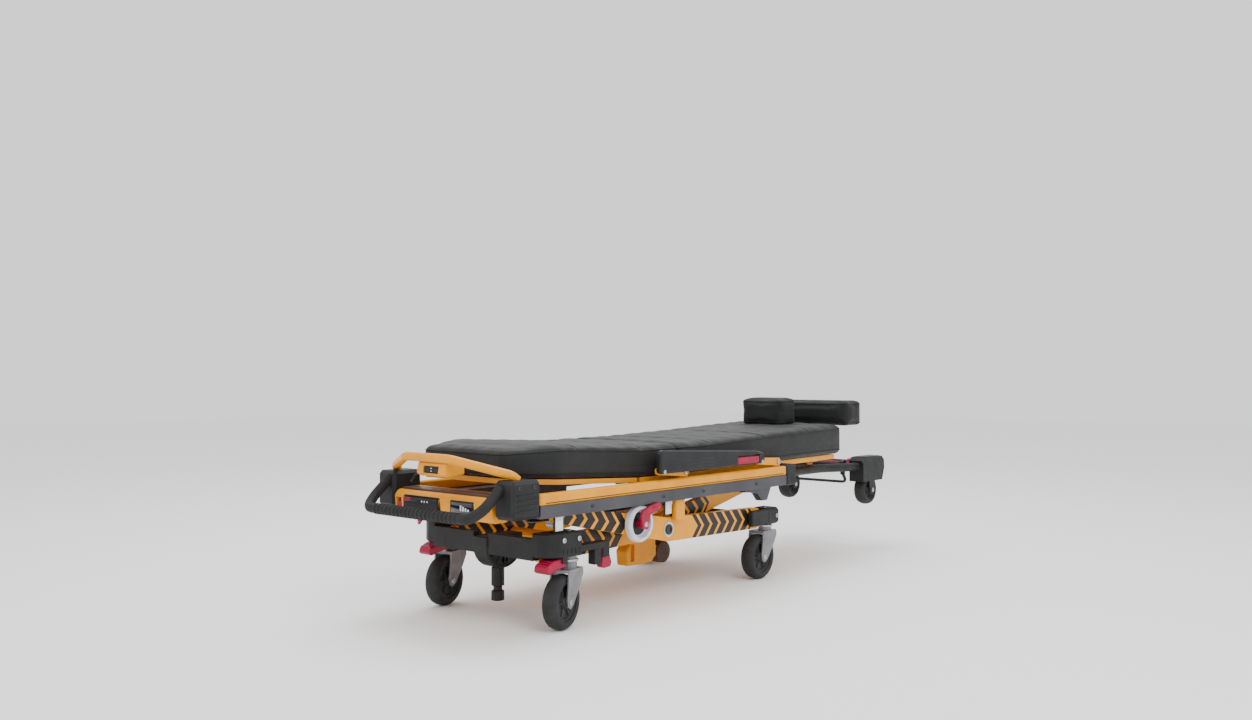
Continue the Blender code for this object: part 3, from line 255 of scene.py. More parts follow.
def reflector(name):
    """White retroreflective patch with a fine honeycomb."""
    look = Look(name, Coat_Weight=0.5, Coat_Roughness=0.1)
    cells = look.add("ShaderNodeTexVoronoi", [("Vector", look.stretch((1.0, 1.0, 1.0))), ("Scale", 420.0)],
                     feature="DISTANCE_TO_EDGE").outputs["Distance"]
    tone = look.mix(look.spread(cells, 0.0, 0.12), (0.60, 0.60, 0.60), (0.90, 0.90, 0.89))
    return look.finish(tone, look.spread(cells, 0.0, 0.3, 0.4, 0.22), look.bump(cells, 0.0002, 0.4))


def chevrons(towards, spans, pitch, rake):
    """Dark arrowheads on a leg's outer faces, measured along the cot and from the bent centre line."""
    origin, top, low = pivot("legs_scissor"), pivot("legs_raise"), pivot("foot_base_level")
    rise = (top.z - origin.z) / (top.x - origin.x)
    fall = (origin.z - low.z) / (origin.x - low.x)

    def pattern(look):
        split = look.add("ShaderNodeSeparateXYZ", [("Vector", look.place.outputs["Object"])])
        x = look.math("SUBTRACT", split.outputs["X"], origin.x)
        z = look.math("SUBTRACT", split.outputs["Z"], origin.z)
        up = look.math("MULTIPLY", x, towards)
        middle = look.math("MAXIMUM", look.math("MULTIPLY", up, rise), look.math("MULTIPLY", up, fall))
        off = look.math("ABSOLUTE", look.math("SUBTRACT", z, middle))
        reach = look.math("ADD", x, look.math("MULTIPLY", off, rake))
        stripe = look.math("LESS_THAN", look.math("FRACT", look.math("DIVIDE", reach, pitch)), 0.72)
        total = None
        for low_end, high_end in spans:
            inside = look.math("MULTIPLY", look.math("GREATER_THAN", reach, low_end),
                               look.math("LESS_THAN", reach, high_end))
            part = look.math("MULTIPLY", inside, stripe)
            total = part if total is None else look.math("MAXIMUM", total, part)
        face = look.add("ShaderNodeSeparateXYZ", [("Vector", look.place.outputs["Normal"])])
        side = look.math("GREATER_THAN", look.math("ABSOLUTE", face.outputs["Y"]), 0.6)
        return look.math("MULTIPLY", total, side)

    return pattern


MATERIALS = {
    "amber": amber_paint("amber_paint"),
    "amber_outer": amber_paint("amber_outer_leg", chevrons(-1.0, [(-0.500, -0.185), (0.150, 0.475)], 0.046, 0.85)),
    "amber_inner": amber_paint("amber_inner_leg", chevrons(1.0, [(-0.450, -0.150), (0.085, 0.290)], 0.046, 0.85)),
    "black": moulded("charcoal_moulding", CHARCOAL),
    "black_satin": moulded("charcoal_satin", (0.012, 0.0125, 0.0135), 0.38, 2600.0),
    "grip": moulded("grip_rubber", (0.014, 0.014, 0.015), 0.62, 1100.0),
    "track": extrusion("dark_extrusion"),
    "fabric": cover_fabric("mattress_cover", (0.0120, 0.0128, 0.0130)),
    "fabric_edge": cover_fabric("cover_binding", (0.0085, 0.0090, 0.0092), 0.05),
    "pillow": cover_fabric("pillow_cover", (0.0095, 0.0100, 0.0100), 0.06),
    "red": glossy_red("crimson_plastic"),
    "steel": bare_metal("bright_steel", (0.62, 0.63, 0.65), 0.26, (0.05, 1.0, 1.0)),
    "bolt": bare_metal("zinc_bolt", (0.50, 0.50, 0.52), 0.34),
    "dark_bolt": bare_metal("black_bolt", (0.070, 0.070, 0.075), 0.40),
    "fork": painted_steel("fork_paint", (0.20, 0.20, 0.215)),
    "tread": rubber("tyre_tread"),
    "hub": moulded("hub_plastic", (0.030, 0.030, 0.031), 0.45),
    "ring": moulded("ring_plastic", (0.60, 0.60, 0.68), 0.38, 1500.0, (0.85, 0.85, 0.90)),
    "screen": screen_glass("screen_glass"),
    "reflector": reflector("white_reflector"),
    "motor": moulded("motor_can", (0.060, 0.034, 0.026), 0.42, 1500.0),
}


# ---------------------------------------------------------------- mesh building
def piece(name, bm, look, body=None, smooth=35.0):
    bmesh.ops.recalc_face_normals(bm, faces=bm.faces)
    mesh = bpy.data.meshes.new(name)
    bm.to_mesh(mesh)
    bm.free()
    mesh.shade_smooth()
    mesh.set_sharp_from_angle(angle=math.radians(smooth))
    made = bpy.data.objects.new(name, mesh)
    bpy.context.scene.collection.objects.link(made)
    dress(made, look)
    if body is not None:
        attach(made, body)
    return made


def dress(made, look):
    made.data.materials.clear()
    made.data.materials.append(MATERIALS[look])


def absorb(bm, other, matrix=None):
    """Add other's faces to bm and free it."""
    if matrix is not None:
        bmesh.ops.transform(other, matrix=matrix, verts=other.verts)
    mesh = bpy.data.meshes.new("part")
    other.to_mesh(mesh)
    other.free()
    bm.from_mesh(mesh)
    bpy.data.meshes.remove(mesh)
    return bm


def extruded(outline, axis, low, high, bevel=0.0, segments=3):
    """Outline drawn across an axis, thickened from low to high, its edges rounded."""
    bm = bmesh.new()
    place = {"X": lambda u, v, w: (w, u, v), "Y": lambda u, v, w: (u, w, v), "Z": lambda u, v, w: (u, v, w)}
    bottom = [bm.verts.new(place[axis](u, v, low)) for u, v in outline]
    top = [bm.verts.new(place[axis](u, v, high)) for u, v in outline]
    bm.faces.new(bottom)
    bm.faces.new(top)
    for i in range(len(outline)):
        j = (i + 1) % len(outline)
        bm.faces.new((bottom[i], bottom[j], top[j], top[i]))
    bmesh.ops.recalc_face_normals(bm, faces=bm.faces)
    if bevel > 0.0:
        bmesh.ops.bevel(bm, geom=bm.edges[:], offset=bevel, segments=segments, profile=0.5,
                        affect="EDGES", clamp_overlap=True)
    return bm


def block(low, high, bevel=0.002, segments=3):
    outline = [(low[0], low[1]), (high[0], low[1]), (high[0], high[1]), (low[0], high[1])]
    return extruded(outline, "Z", low[2], high[2], bevel, segments)


def lathed(profile, steps=48, closed=False):
    """(along, radius) pairs turned about the Y axis at the origin."""
    bm = bmesh.new()
    rings = []
    for k in range(steps):
        angle = 2.0 * math.pi * k / steps
        rings.append([bm.verts.new((r * math.sin(angle), s, r * math.cos(angle))) for s, r in profile])
    count = len(profile)
    for k in range(steps):
        ring, following = rings[k], rings[(k + 1) % steps]
        for i in range(count if closed else count - 1):
            j = (i + 1) % count
            bm.faces.new((ring[i], ring[j], following[j], following[i]))
    if not closed:
        bm.faces.new([ring[0] for ring in rings])
        bm.faces.new([ring[-1] for ring in rings])
    return bm


def tube(points, radius, steps=12, closed=False):
    points = [Vector(p) for p in points]
    count = len(points)
    bm = bmesh.new()
    rings = []
    normal = None
    for i, point in enumerate(points):
        ahead = points[(i + 1) % count] if closed else points[min(i + 1, count - 1)]
        behind = points[i - 1] if closed or i > 0 else point
        tangent = (ahead - behind).normalized()
        normal = tangent.orthogonal().normalized() if normal is None else normal
        normal = (normal - tangent * normal.dot(tangent)).normalized()
        second = tangent.cross(normal)
        turn = [2.0 * math.pi * k / steps for k in range(steps)]
        rings.append([bm.verts.new(point + radius * (math.cos(a) * normal + math.sin(a) * second))
                      for a in turn])
    for i in range(count if closed else count - 1):
        ring, following = rings[i], rings[(i + 1) % count]
        for k in range(steps):
            j = (k + 1) % steps
            bm.faces.new((ring[k], ring[j], following[j], following[k]))
    if not closed:
        bm.faces.new(rings[0])
        bm.faces.new(rings[-1])
    return bm


def rounded_path(corners, radius, steps=6, closed=False):
    corners = [Vector(c) for c in corners]
    count = len(corners)
    path = [] if closed else [corners[0]]
    for i in (range(count) if closed else range(1, count - 1)):
        before, corner, after = corners[i - 1], corners[i], corners[(i + 1) % count]
        start = corner + (before - corner).normalized() * radius
        end = corner + (after - corner).normalized() * radius
        for k in range(steps + 1):
            t = k / steps
            path.append(start.lerp(corner, t).lerp(corner.lerp(end, t), t))
    if not closed:
        path.append(corners[-1])
    return path


def bolt(centre, axis, radius=0.006, height=0.004):
    """Button head with a hexagon socket, standing out along axis."""
    profile = [(0.0, radius), (height * 0.35, radius), (height * 0.85, radius * 0.72),
               (height, radius * 0.50), (height, radius * 0.44), (height * 0.45, radius * 0.42)]
    bm = lathed(profile, 24)
    turn = Vector((0.0, 1.0, 0.0)).rotation_difference(Vector(axis)).to_matrix().to_4x4()
    bmesh.ops.transform(bm, matrix=Matrix.Translation(Vector(centre)) @ turn, verts=bm.verts)
    return bm


def bolts(name, places, body, radius=0.006, look="bolt", height=0.004):
    bm = bmesh.new()
    for centre, axis in places:
        absorb(bm, bolt(centre, axis, radius, height))
    return piece(name, bm, look, body)


# ---------------------------------------------------------------- soft pieces
def remeshed(made, voxel):
    step = made.modifiers.new("voxels", "REMESH")
    step.mode = "VOXEL"
    step.voxel_size = voxel
    mesh = bpy.data.meshes.new_from_object(made.evaluated_get(bpy.context.evaluated_depsgraph_get()))
    made.modifiers.clear()
    made.data = mesh


def points_of(mesh):
    points = np.zeros(len(mesh.vertices) * 3)
    mesh.vertices.foreach_get("co", points)
    return points.reshape(-1, 3)


def set_points(mesh, points):
    mesh.vertices.foreach_set("co", points.ravel())
    mesh.update()


def puffed(made, pressure, cap, voxel):
    """Blow a pad up as cloth, never further than cap from where it began."""
    remeshed(made, voxel)
    start = points_of(made.data)
    cloth = made.modifiers.new("cloth", "CLOTH")
    cloth.settings.quality = 4
    cloth.settings.mass = 0.4
    cloth.settings.tension_stiffness = 14.0
    cloth.settings.compression_stiffness = 14.0
    cloth.settings.bending_stiffness = 1.5
    cloth.settings.use_pressure = True
    cloth.settings.uniform_pressure_force = pressure
    cloth.settings.effector_weights.gravity = 0.0
    cloth.collision_settings.use_collision = False
    cloth.point_cache.frame_start = 1
    cloth.point_cache.frame_end = 20
    scene = bpy.context.scene
    for number in range(1, 21):
        scene.frame_set(number)
    settled = made.evaluated_get(bpy.context.evaluated_depsgraph_get())
    moved = points_of(settled.data) - start
    made.modifiers.clear()
    length = np.linalg.norm(moved, axis=1)
    moved *= (np.minimum(length, cap) / np.maximum(length, 1e-9))[:, None]
    set_points(made.data, start + moved)
    scene.frame_set(1)


def refined(made):
    step = made.modifiers.new("fine", "SUBSURF")
    step.levels = 1
    step.render_levels = 1
    mesh = bpy.data.meshes.new_from_object(made.evaluated_get(bpy.context.evaluated_depsgraph_get()))
    made.modifiers.clear()
    made.data = mesh
    mesh.shade_smooth()


KNEE, HIP = pivot("leg_section_raise"), pivot("backrest_raise")
SEAT_LOW, SEAT_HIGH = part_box("seat_cushion")
LEG_SLOPE, BACK_SLOPE, BACK_TOP = math.radians(3.2), math.radians(0.4), math.radians(1.4)
PAD_LOW, PAD_HIGH = SEAT_LOW.z, SEAT_HIGH.z
PAD_HALF = SEAT_HIGH.y
SPLIT_X = (KNEE.x + HIP.x) / 2.0
FOOT_END, HEAD_END = along(-0.150), along(1.580)
CHANNELS = [along(0.080), KNEE.x, HIP.x, along(1.030), along(1.330)]


def on_slopes(points):
    """Carry flat mattress points onto the raised leg section and backrest."""
    out = points.copy()
    share = np.clip((points[:, 2] - PAD_LOW) / (PAD_HIGH - PAD_LOW), 0.0, 1.0)
    out[:, 2] += share * np.clip(points[:, 0] - HIP.x, 0.0, None) * math.tan(BACK_TOP)
    dip = np.clip((FOOT_END + 0.16 - points[:, 0]) / 0.16, 0.0, 1.0)
    out[:, 2] -= share * 0.020 * dip
    points = out.copy()
    for centre, slope, side in ((KNEE, LEG_SLOPE, -1.0), (HIP, BACK_SLOPE, 1.0)):
        reach = np.clip(side * (points[:, 0] - centre.x) / 0.03 + 0.5, 0.0, 1.0)
        angle = slope * reach * reach * (3.0 - 2.0 * reach)
        dx, dz = points[:, 0] - centre.x, points[:, 2] - centre.z
        picked = reach > 0.0
        turned_x = centre.x + dx * np.cos(angle) - side * dz * np.sin(angle)
        turned_z = centre.z + side * dx * np.sin(angle) + dz * np.cos(angle)
        out[picked, 0] = turned_x[picked]
        out[picked, 2] = turned_z[picked]
    return out


def cushion_detail(points, low, high, half, ends):
    """Sides drawn in between corners, sewn channels, and a crease round the middle of the side."""
    x, y, z = points[:, 0], points[:, 1], points[:, 2]
    out = points.copy()
    top = np.clip((z - (high - 0.016)) / 0.014, 0.0, 1.0)
    crown = 0.004 * (1.0 - (y / half) ** 2)
    out[:, 2] += top * crown
    for channel in CHANNELS:
        groove = np.exp(-((x - channel) / 0.0055) ** 2)
        out[:, 2] -= top * 0.0060 * groove * np.clip((half - np.abs(y)) / 0.03, 0.0, 1.0)
    pull = 0.0045 * np.cos(np.clip((x - ends[0]) / (ends[1] - ends[0]), 0.0, 1.0) * 2.0 * math.pi)
    side = np.clip((np.abs(y) - (half - 0.02)) / 0.02, 0.0, 1.0)
    out[:, 1] += np.sign(y) * side * (pull - 0.0045)
    crease = np.exp(-((z - (low + 0.36 * (high - low))) / 0.0035) ** 2)
    out[:, 1] -= np.sign(y) * side * 0.0022 * crease
    ripple = 0.0009 * np.sin(x * 71.0 + 3.0 * y) + 0.0007 * np.sin(y * 63.0 - 9.0 * x)
    out[:, 2] += top * ripple
    return out


def plan_of_mattress(start, end):
    taper = KNEE.x + 0.69 * (FOOT_END - KNEE.x)
    inset = 0.006
    half, narrow = PAD_HALF - inset, 0.175 - inset
    if start < taper:
        return [(start + inset, -narrow), (taper, -half), (end, -half), (end, half), (taper, half),
                (start + inset, narrow)]
    return [(start, -half), (end - inset, -half), (end - inset, half), (start, half)]


def mattress(name, start, end, nodes):
    low, high = PAD_LOW + 0.001, PAD_HIGH - 0.0055
    shape = extruded(plan_of_mattress(start, end), "Z", low, high, 0.014, 3)
    made = piece(name, shape, "fabric")
    puffed(made, 4.0, 0.0050, 0.0065)
    refined(made)
    points = cushion_detail(points_of(made.data), low, high, PAD_HALF, (start, end))
    points[:, 2] = np.maximum(points[:, 2], PAD_LOW - 0.0005)
    points[:, 0] = np.clip(points[:, 0], start + 0.0006, end - 0.0006)
    set_points(made.data, on_slopes(points))
    made.data.materials.clear()
    made.data.materials.append(MATERIALS["fabric"])
    tree = BVHTree.FromPolygons([v.co for v in made.data.vertices], [p.vertices for p in made.data.polygons])
    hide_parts(*nodes)
    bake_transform(made)
    piping(name + "_piping", start, end, high, tree)
    return made


def piping(name, start, end, high, tree):
    """Bound seams round the pad's top and bottom edges."""
    bm = bmesh.new()
    for level in (high - 0.007, PAD_LOW + 0.012):
        corners = [Vector((x, y, level)) for x, y in plan_of_mattress(start, end)]
        path = []
        for point in rounded_path(corners, 0.020, 5, True):
            path.append(point)
        dense = []
        for i, point in enumerate(path):
            following = path[(i + 1) % len(path)]
            pieces = max(1, int((following - point).length / 0.010))
            for k in range(pieces):
                dense.append(point.lerp(following, k / pieces))
        carried = on_slopes(np.array([[p.x, p.y, p.z] for p in dense]))
        seated = []
        for point in carried:
            found, normal, _, _ = tree.find_nearest(Vector(point))
            seated.append(found + normal * 0.0004)
        absorb(bm, tube(seated, 0.0021, 8, True))
    made = piece(name, bm, "fabric_edge")
    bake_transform(made)
    return made


def soft_block(name, node, body, look, slope):
    """Firm pad with a slight crown and piping round its faces."""
    low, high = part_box(node)
    centre = (low + high) / 2.0
    size = high - low
    length = (size.x - size.z * math.sin(slope)) / math.cos(slope)
    height = (size.z - size.x * math.sin(slope)) / math.cos(slope)
    inset = 0.0045
    lows = Vector((-length / 2.0 + inset, -size.y / 2.0 + inset, -height / 2.0 + 0.001))
    highs = Vector((length / 2.0 - inset, size.y / 2.0 - inset, height / 2.0 - inset))
    made = piece(name, block(lows, highs, 0.010, 3), look)
    puffed(made, 4.0, 0.0040, 0.0055)
    refined(made)
    points = points_of(made.data)
    points[:, 2] = np.maximum(points[:, 2], lows.z)
    set_points(made.data, points)
    tree = BVHTree.FromPolygons([v.co for v in made.data.vertices], [p.vertices for p in made.data.polygons])
    bm = bmesh.new()
    for level in (highs.z - 0.008, lows.z + 0.008):
        corners = [(lows.x, lows.y, level), (highs.x, lows.y, level), (highs.x, highs.y, level),
                   (lows.x, highs.y, level)]
        seated = []
        path = rounded_path(corners, 0.014, 5, True)
        for i, point in enumerate(path):
            following = path[(i + 1) % len(path)]
            pieces = max(1, int((following - point).length / 0.010))
            for k in range(pieces):
                found, normal, _, _ = tree.find_nearest(point.lerp(following, k / pieces))
                seated.append(found + normal * 0.0003)
        absorb(bm, tube(seated, 0.0020, 8, True))
    binding = piece(name + "_piping", bm, "fabric_edge")
    turn = Matrix.Translation(centre) @ Matrix.Rotation(-slope, 4, "Y")
    for part in (made, binding):
        part.data.transform(turn)
        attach(part, body)
    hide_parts(node)
    dress(made, look)
    return made


def soft_goods():
    mattress("mattress_foot_half", FOOT_END, SPLIT_X,
             ("leg_cushion", "seat_cushion"))
    mattress("mattress_head_half", SPLIT_X, HEAD_END,
             ("back_cushion",))
    soft_block("pillow", "head_pillow", "backrest", "pillow", BACK_SLOPE + BACK_TOP)
    soft_block("head_pad", "head_extension_pad", "head_extension", "pillow", BACK_SLOPE)


# ---------------------------------------------------------------- wheels
def wheel_mesh(radius, half, hub_radius):
    """Tread, side walls, and a dished hub with spokes, turned about Y at the origin."""
    wall = [(-half * 0.70, hub_radius), (-half * 0.92, hub_radius + 0.002), (-half, radius - 0.018)]
    for k in range(9):
        angle = math.pi * (1.0 - k / 8.0)
        wall.append((half * math.cos(angle) * 0.98, radius - 0.011 + 0.011 * math.sin(angle)))
    wall += [(half, radius - 0.018), (half * 0.92, hub_radius + 0.002), (half * 0.70, hub_radius)]
    tread = lathed(wall, 72, True)
    dish = [(-half * 0.66, 0.0072), (-half * 0.95, 0.0075), (-half * 0.95, 0.0150), (-half * 0.80, 0.0175),
            (-half * 0.38, 0.0200), (-half * 0.38, hub_radius - 0.008), (-half * 0.74, hub_radius - 0.003),
            (-half * 0.74, hub_radius + 0.001)]
    hub = lathed(dish + [(-s, r) for s, r in reversed(dish)], 60, True)
    for k in range(6):
        spoke = extruded([(0.0180, -0.0032), (hub_radius - 0.0055, -0.0024), (hub_radius - 0.0055, 0.0024),
                          (0.0180, 0.0032)], "Y", -half * 0.62, half * 0.62, 0.0010, 2)
        absorb(hub, spoke, Matrix.Rotation(2.0 * math.pi * k / 6.0, 4, "Y"))
    return tread, hub


def wheel(name, node, joint, radius, half, hub_radius):
    centre, axis = pivot(joint), Vector(JOINTS[joint]["axis"])
    turn = Matrix.Translation(centre) @ Vector((0, 1, 0)).rotation_difference(axis).to_matrix().to_4x4()
    tread, hub = wheel_mesh(radius, half, hub_radius)
    body = JOINTS[joint]["child"]
    for bm in (tread, hub):
        bmesh.ops.transform(bm, matrix=turn, verts=bm.verts)
    tyre = piece(name + "_tread", tread, "tread", body, 50.0)
    piece(name + "_hub", hub, "hub", body, 40.0)
    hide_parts(node)


def axle_nuts(name, joint, reach, body):
    centre, axis = pivot(joint), Vector(JOINTS[joint]["axis"])
    places = [(centre + axis * (way * reach), axis * way) for way in (-1.0, 1.0)]
    bolts(name, places, body, 0.0085, "bolt", 0.0045)


def all_wheels():
    for end in ("foot", "head"):
        for label in SIDES:
            joint = f"caster_spin_{end}_{label}"
            wheel(f"caster_{end}_{label}", f"caster_wheel_{end}_{label}", joint, 0.0760, 0.0230, 0.050)
            axle_nuts(f"axle_nuts_{end}_{label}", joint, 0.0310, f"swivel_{end}_{label}")
            collar(end, label)
    for label in SIDES:
        joint = f"load_wheel_spin_{label}"
        wheel(f"load_{label}", f"load_wheel_{label}", joint, 0.0600, 0.0240, 0.038)
        axle_nuts(f"load_axle_nuts_{label}", joint, 0.0340, "head_section")


def collar(end, label):
    """Bright swivel bearing race between fork crown and housing."""
    centre = pivot(f"caster_swivel_{end}_{label}")
    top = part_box(f"{end}_base")[0].z if end == "head" else 0.199
    profile = [(-0.0045, 0.0205), (-0.0030, 0.0265), (0.0030, 0.0265), (0.0045, 0.0205)]
    bm = lathed(profile, 40, True)
    up = Matrix.Rotation(math.radians(90.0), 4, "X")
    absorbed = absorb(bmesh.new(), bm, Matrix.Translation((centre.x, centre.y, (top + 0.164) / 2.0 + 0.004)) @ up)
    piece(f"swivel_race_{end}_{label}", absorbed, "bolt", f"swivel_{end}_{label}")


# ---------------------------------------------------------------- hardware
def rail_details():
    """Bolt heads and a wear strip along the side rails and blocks."""
    places = []
    for side in SIDES.values():
        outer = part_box("rail_track_right")[1].y
        for distance in (0.10, 0.42, 0.62, 0.92):
            places.append(((along(distance), side * outer, 0.331), (0, side, 0)))
        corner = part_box("foot_corner_right")[1].y
        places.append(((along(-0.186), side * corner, 0.402), (0, side, 0)))
        places.append(((along(-0.132), side * corner, 0.402), (0, side, 0)))
    bolts("rail_bolts", places, "litter", 0.0055, "dark_bolt", 0.003)
    for label, side in SIDES.items():
        low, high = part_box(f"side_rail_{label}")
        outer = side * 0.2842
        ys = sorted((outer, outer - side * 0.0012))
        strip = block((low.x + 0.02, ys[0] - 0.0006, 0.3538), (high.x - 0.02, ys[1] + 0.0006, 0.3562), 0.0004, 2)
        piece(f"rail_groove_{label}", strip, "black_satin", "litter")


def corner_ribs():
    """Moulded ribs on the black corner blocks and head end casting."""
    for label, side in SIDES.items():
        low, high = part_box(f"foot_corner_{label}")
        bm = bmesh.new()
        outer = high.y if side > 0 else low.y
        for k in range(4):
            z = low.z + 0.020 + 0.014 * k
            ys = sorted((outer - side * 0.002, outer + side * 0.0022))
            absorb(bm, block((low.x + 0.014, ys[0], z), (high.x - 0.014, ys[1], z + 0.005), 0.0015, 2))
        piece(f"corner_ribs_{label}", bm, "black_satin", "litter")
    low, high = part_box("head_end_casting")
    bm = bmesh.new()
    for k in range(9):
        y = -0.240 + 0.060 * k
        absorb(bm, block((high.x - 0.001, y - 0.003, low.z + 0.012), (high.x + 0.0022, y + 0.003, high.z - 0.012),
                         0.0012, 2))
    piece("casting_ribs", bm, "black_satin", "litter")


def console():
    """Display, buttons, bay trim and battery details on the foot end housing."""
    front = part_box("console_housing")[0].x + 0.003
    bezel = block((front - 0.0035, -0.138, 0.318), (front + 0.006, -0.040, 0.358), 0.0025, 3)
    piece("display_bezel", bezel, "black_satin", "litter")
    piece("display_glass", block((front - 0.0048, -0.132, 0.325), (front - 0.001, -0.046, 0.353), 0.0010, 2),
          "screen", "litter")
    bars = bmesh.new()
    for k in range(4):
        y = -0.120 + 0.010 * k
        absorb(bars, block((front - 0.0054, y, 0.3310), (front - 0.0040, y + 0.006, 0.3370 + 0.003 * k), 0.0004, 1))
    piece("display_charge_bars", bars, "ring", "litter")
    keys = bmesh.new()
    for y in (-0.180, -0.160):
        absorb(keys, block((front - 0.0040, y - 0.008, 0.330), (front + 0.003, y + 0.008, 0.346), 0.003, 3))
    piece("console_keys", keys, "black_satin", "litter")
    frame_path = [(front - 0.001, 0.004, 0.317), (front - 0.001, 0.162, 0.317), (front - 0.001, 0.162, 0.357),
                  (front - 0.001, 0.004, 0.357)]
    piece("battery_bay_trim", tube(rounded_path(frame_path, 0.008, 4, True), 0.0024, 8, True), "black", "litter")
    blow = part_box("battery_pack")[0]
    grip_z = 0.3475                     # above the lower lift bar, which the pack slides towards
    handle = [(blow.x - 0.0005, 0.080, grip_z), (blow.x - 0.0085, 0.084, grip_z), (blow.x - 0.0085, 0.112, grip_z),
              (blow.x - 0.0005, 0.116, grip_z)]
    piece("battery_handle", tube(rounded_path(handle, 0.004, 4), 0.0032, 10), "black_satin", "battery_pack")
    lamps = bmesh.new()
    for k in range(3):
        absorb(lamps, bolt((blow.x, 0.050 + 0.012 * k, 0.345), (-1, 0, 0), 0.0030, 0.0018))
    piece("battery_lamps", lamps, "ring", "battery_pack")
    latch = block((blow.x - 0.004, 0.122, 0.3430), (blow.x + 0.003, 0.148, 0.3525), 0.0025, 3)
    piece("battery_latch", latch, "red", "battery_pack")
    top = block((along(-0.190), -0.195, 0.3690), (along(-0.135), 0.195, 0.3768), 0.002, 2)
    piece("console_lid", top, "motor", "litter")


def control_details():
    """A grip on the lower lift bar, arrows on the rocker, the hook under the control box, and a red release loop."""
    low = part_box("control_box")[0]
    hook = [(low.x + 0.012, 0.037, low.z + 0.006), (low.x + 0.012, 0.058, low.z + 0.004),
            (low.x + 0.010, 0.064, low.z - 0.008), (low.x + 0.002, 0.064, low.z - 0.016)]
    piece("cable_hook", tube(rounded_path(hook, 0.005, 4), 0.0028, 10), "black_satin", "litter")
    switch_low, switch_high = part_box("height_switch")
    for sign, label in ((1.0, "up"), (-1.0, "down")):
        middle = (switch_low.z + switch_high.z) / 2.0 + sign * 0.0042
        base, tip = middle - sign * 0.0016, middle + sign * 0.0018
        outline = [(-0.0235, base), (-0.0165, base), (-0.020, tip)]
        arrow = extruded(outline, "X", switch_low.x - 0.0004, switch_low.x + 0.0016, 0.0)
        piece(f"switch_arrow_{label}", arrow, "ring", "height_switch")
    bar_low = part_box("lower_lift_bar")[0]
    bar_x, bar_z = bar_low.x + 0.0145, 0.325
    grip = bmesh.new()
    for k in range(21):
        y = -0.170 + 0.017 * k
        ring = lathed([(-0.0045, 0.0148), (-0.0030, 0.0160), (0.0030, 0.0160), (0.0045, 0.0148)], 24, True)
        absorb(grip, ring, Matrix.Translation((bar_x, y, bar_z)))
    piece("lower_bar_grip", grip, "grip", "litter")
    lower = [(along(-0.195), 0.085, 0.308), (along(-0.212), 0.085, 0.290), (along(-0.206), 0.100, 0.280),
             (along(-0.196), 0.112, 0.288)]
    piece("lower_release_loop", tube(rounded_path(lower, 0.006, 4), 0.0045, 10), "red", "litter")


def siderail_details():
    """Pivot caps and finger grooves on the folding siderails."""
    for label, side in SIDES.items():
        low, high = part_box(f"siderail_bar_{label}")
        outer = high.y if side > 0 else low.y
        body = f"siderail_bar_{label}"
        bm = bmesh.new()
        ys = sorted((outer - side * 0.0015, outer + side * 0.0006))
        for k in range(3):
            z = 0.412 + 0.0110 * k
            absorb(bm, block((low.x + 0.035, ys[0], z), (low.x + 0.270, ys[1], z + 0.0030), 0.0006, 2))
        piece(f"siderail_grooves_{label}", bm, "black_satin", body)
        foot = pivot(f"siderail_foot_arm_fold_{label}")
        top = pivot(f"siderail_bar_level_{label}")
        head_x = pivot(f"siderail_head_arm_fold_{label}").x - foot.x
        caps = [((top.x + dx, outer, top.z), (0, side, 0)) for dx in (0.0, head_x)]
        bolts(f"siderail_caps_{label}", caps, body, 0.0065, "bolt", 0.0006)
        for which in ("foot", "head"):
            arm = pivot(f"siderail_{which}_arm_fold_{label}")
            bolts(f"arm_cap_{which}_{label}", [((arm.x, side * 0.2745, arm.z), (0, side, 0))], "litter",
                  0.0090, "bolt", 0.004)


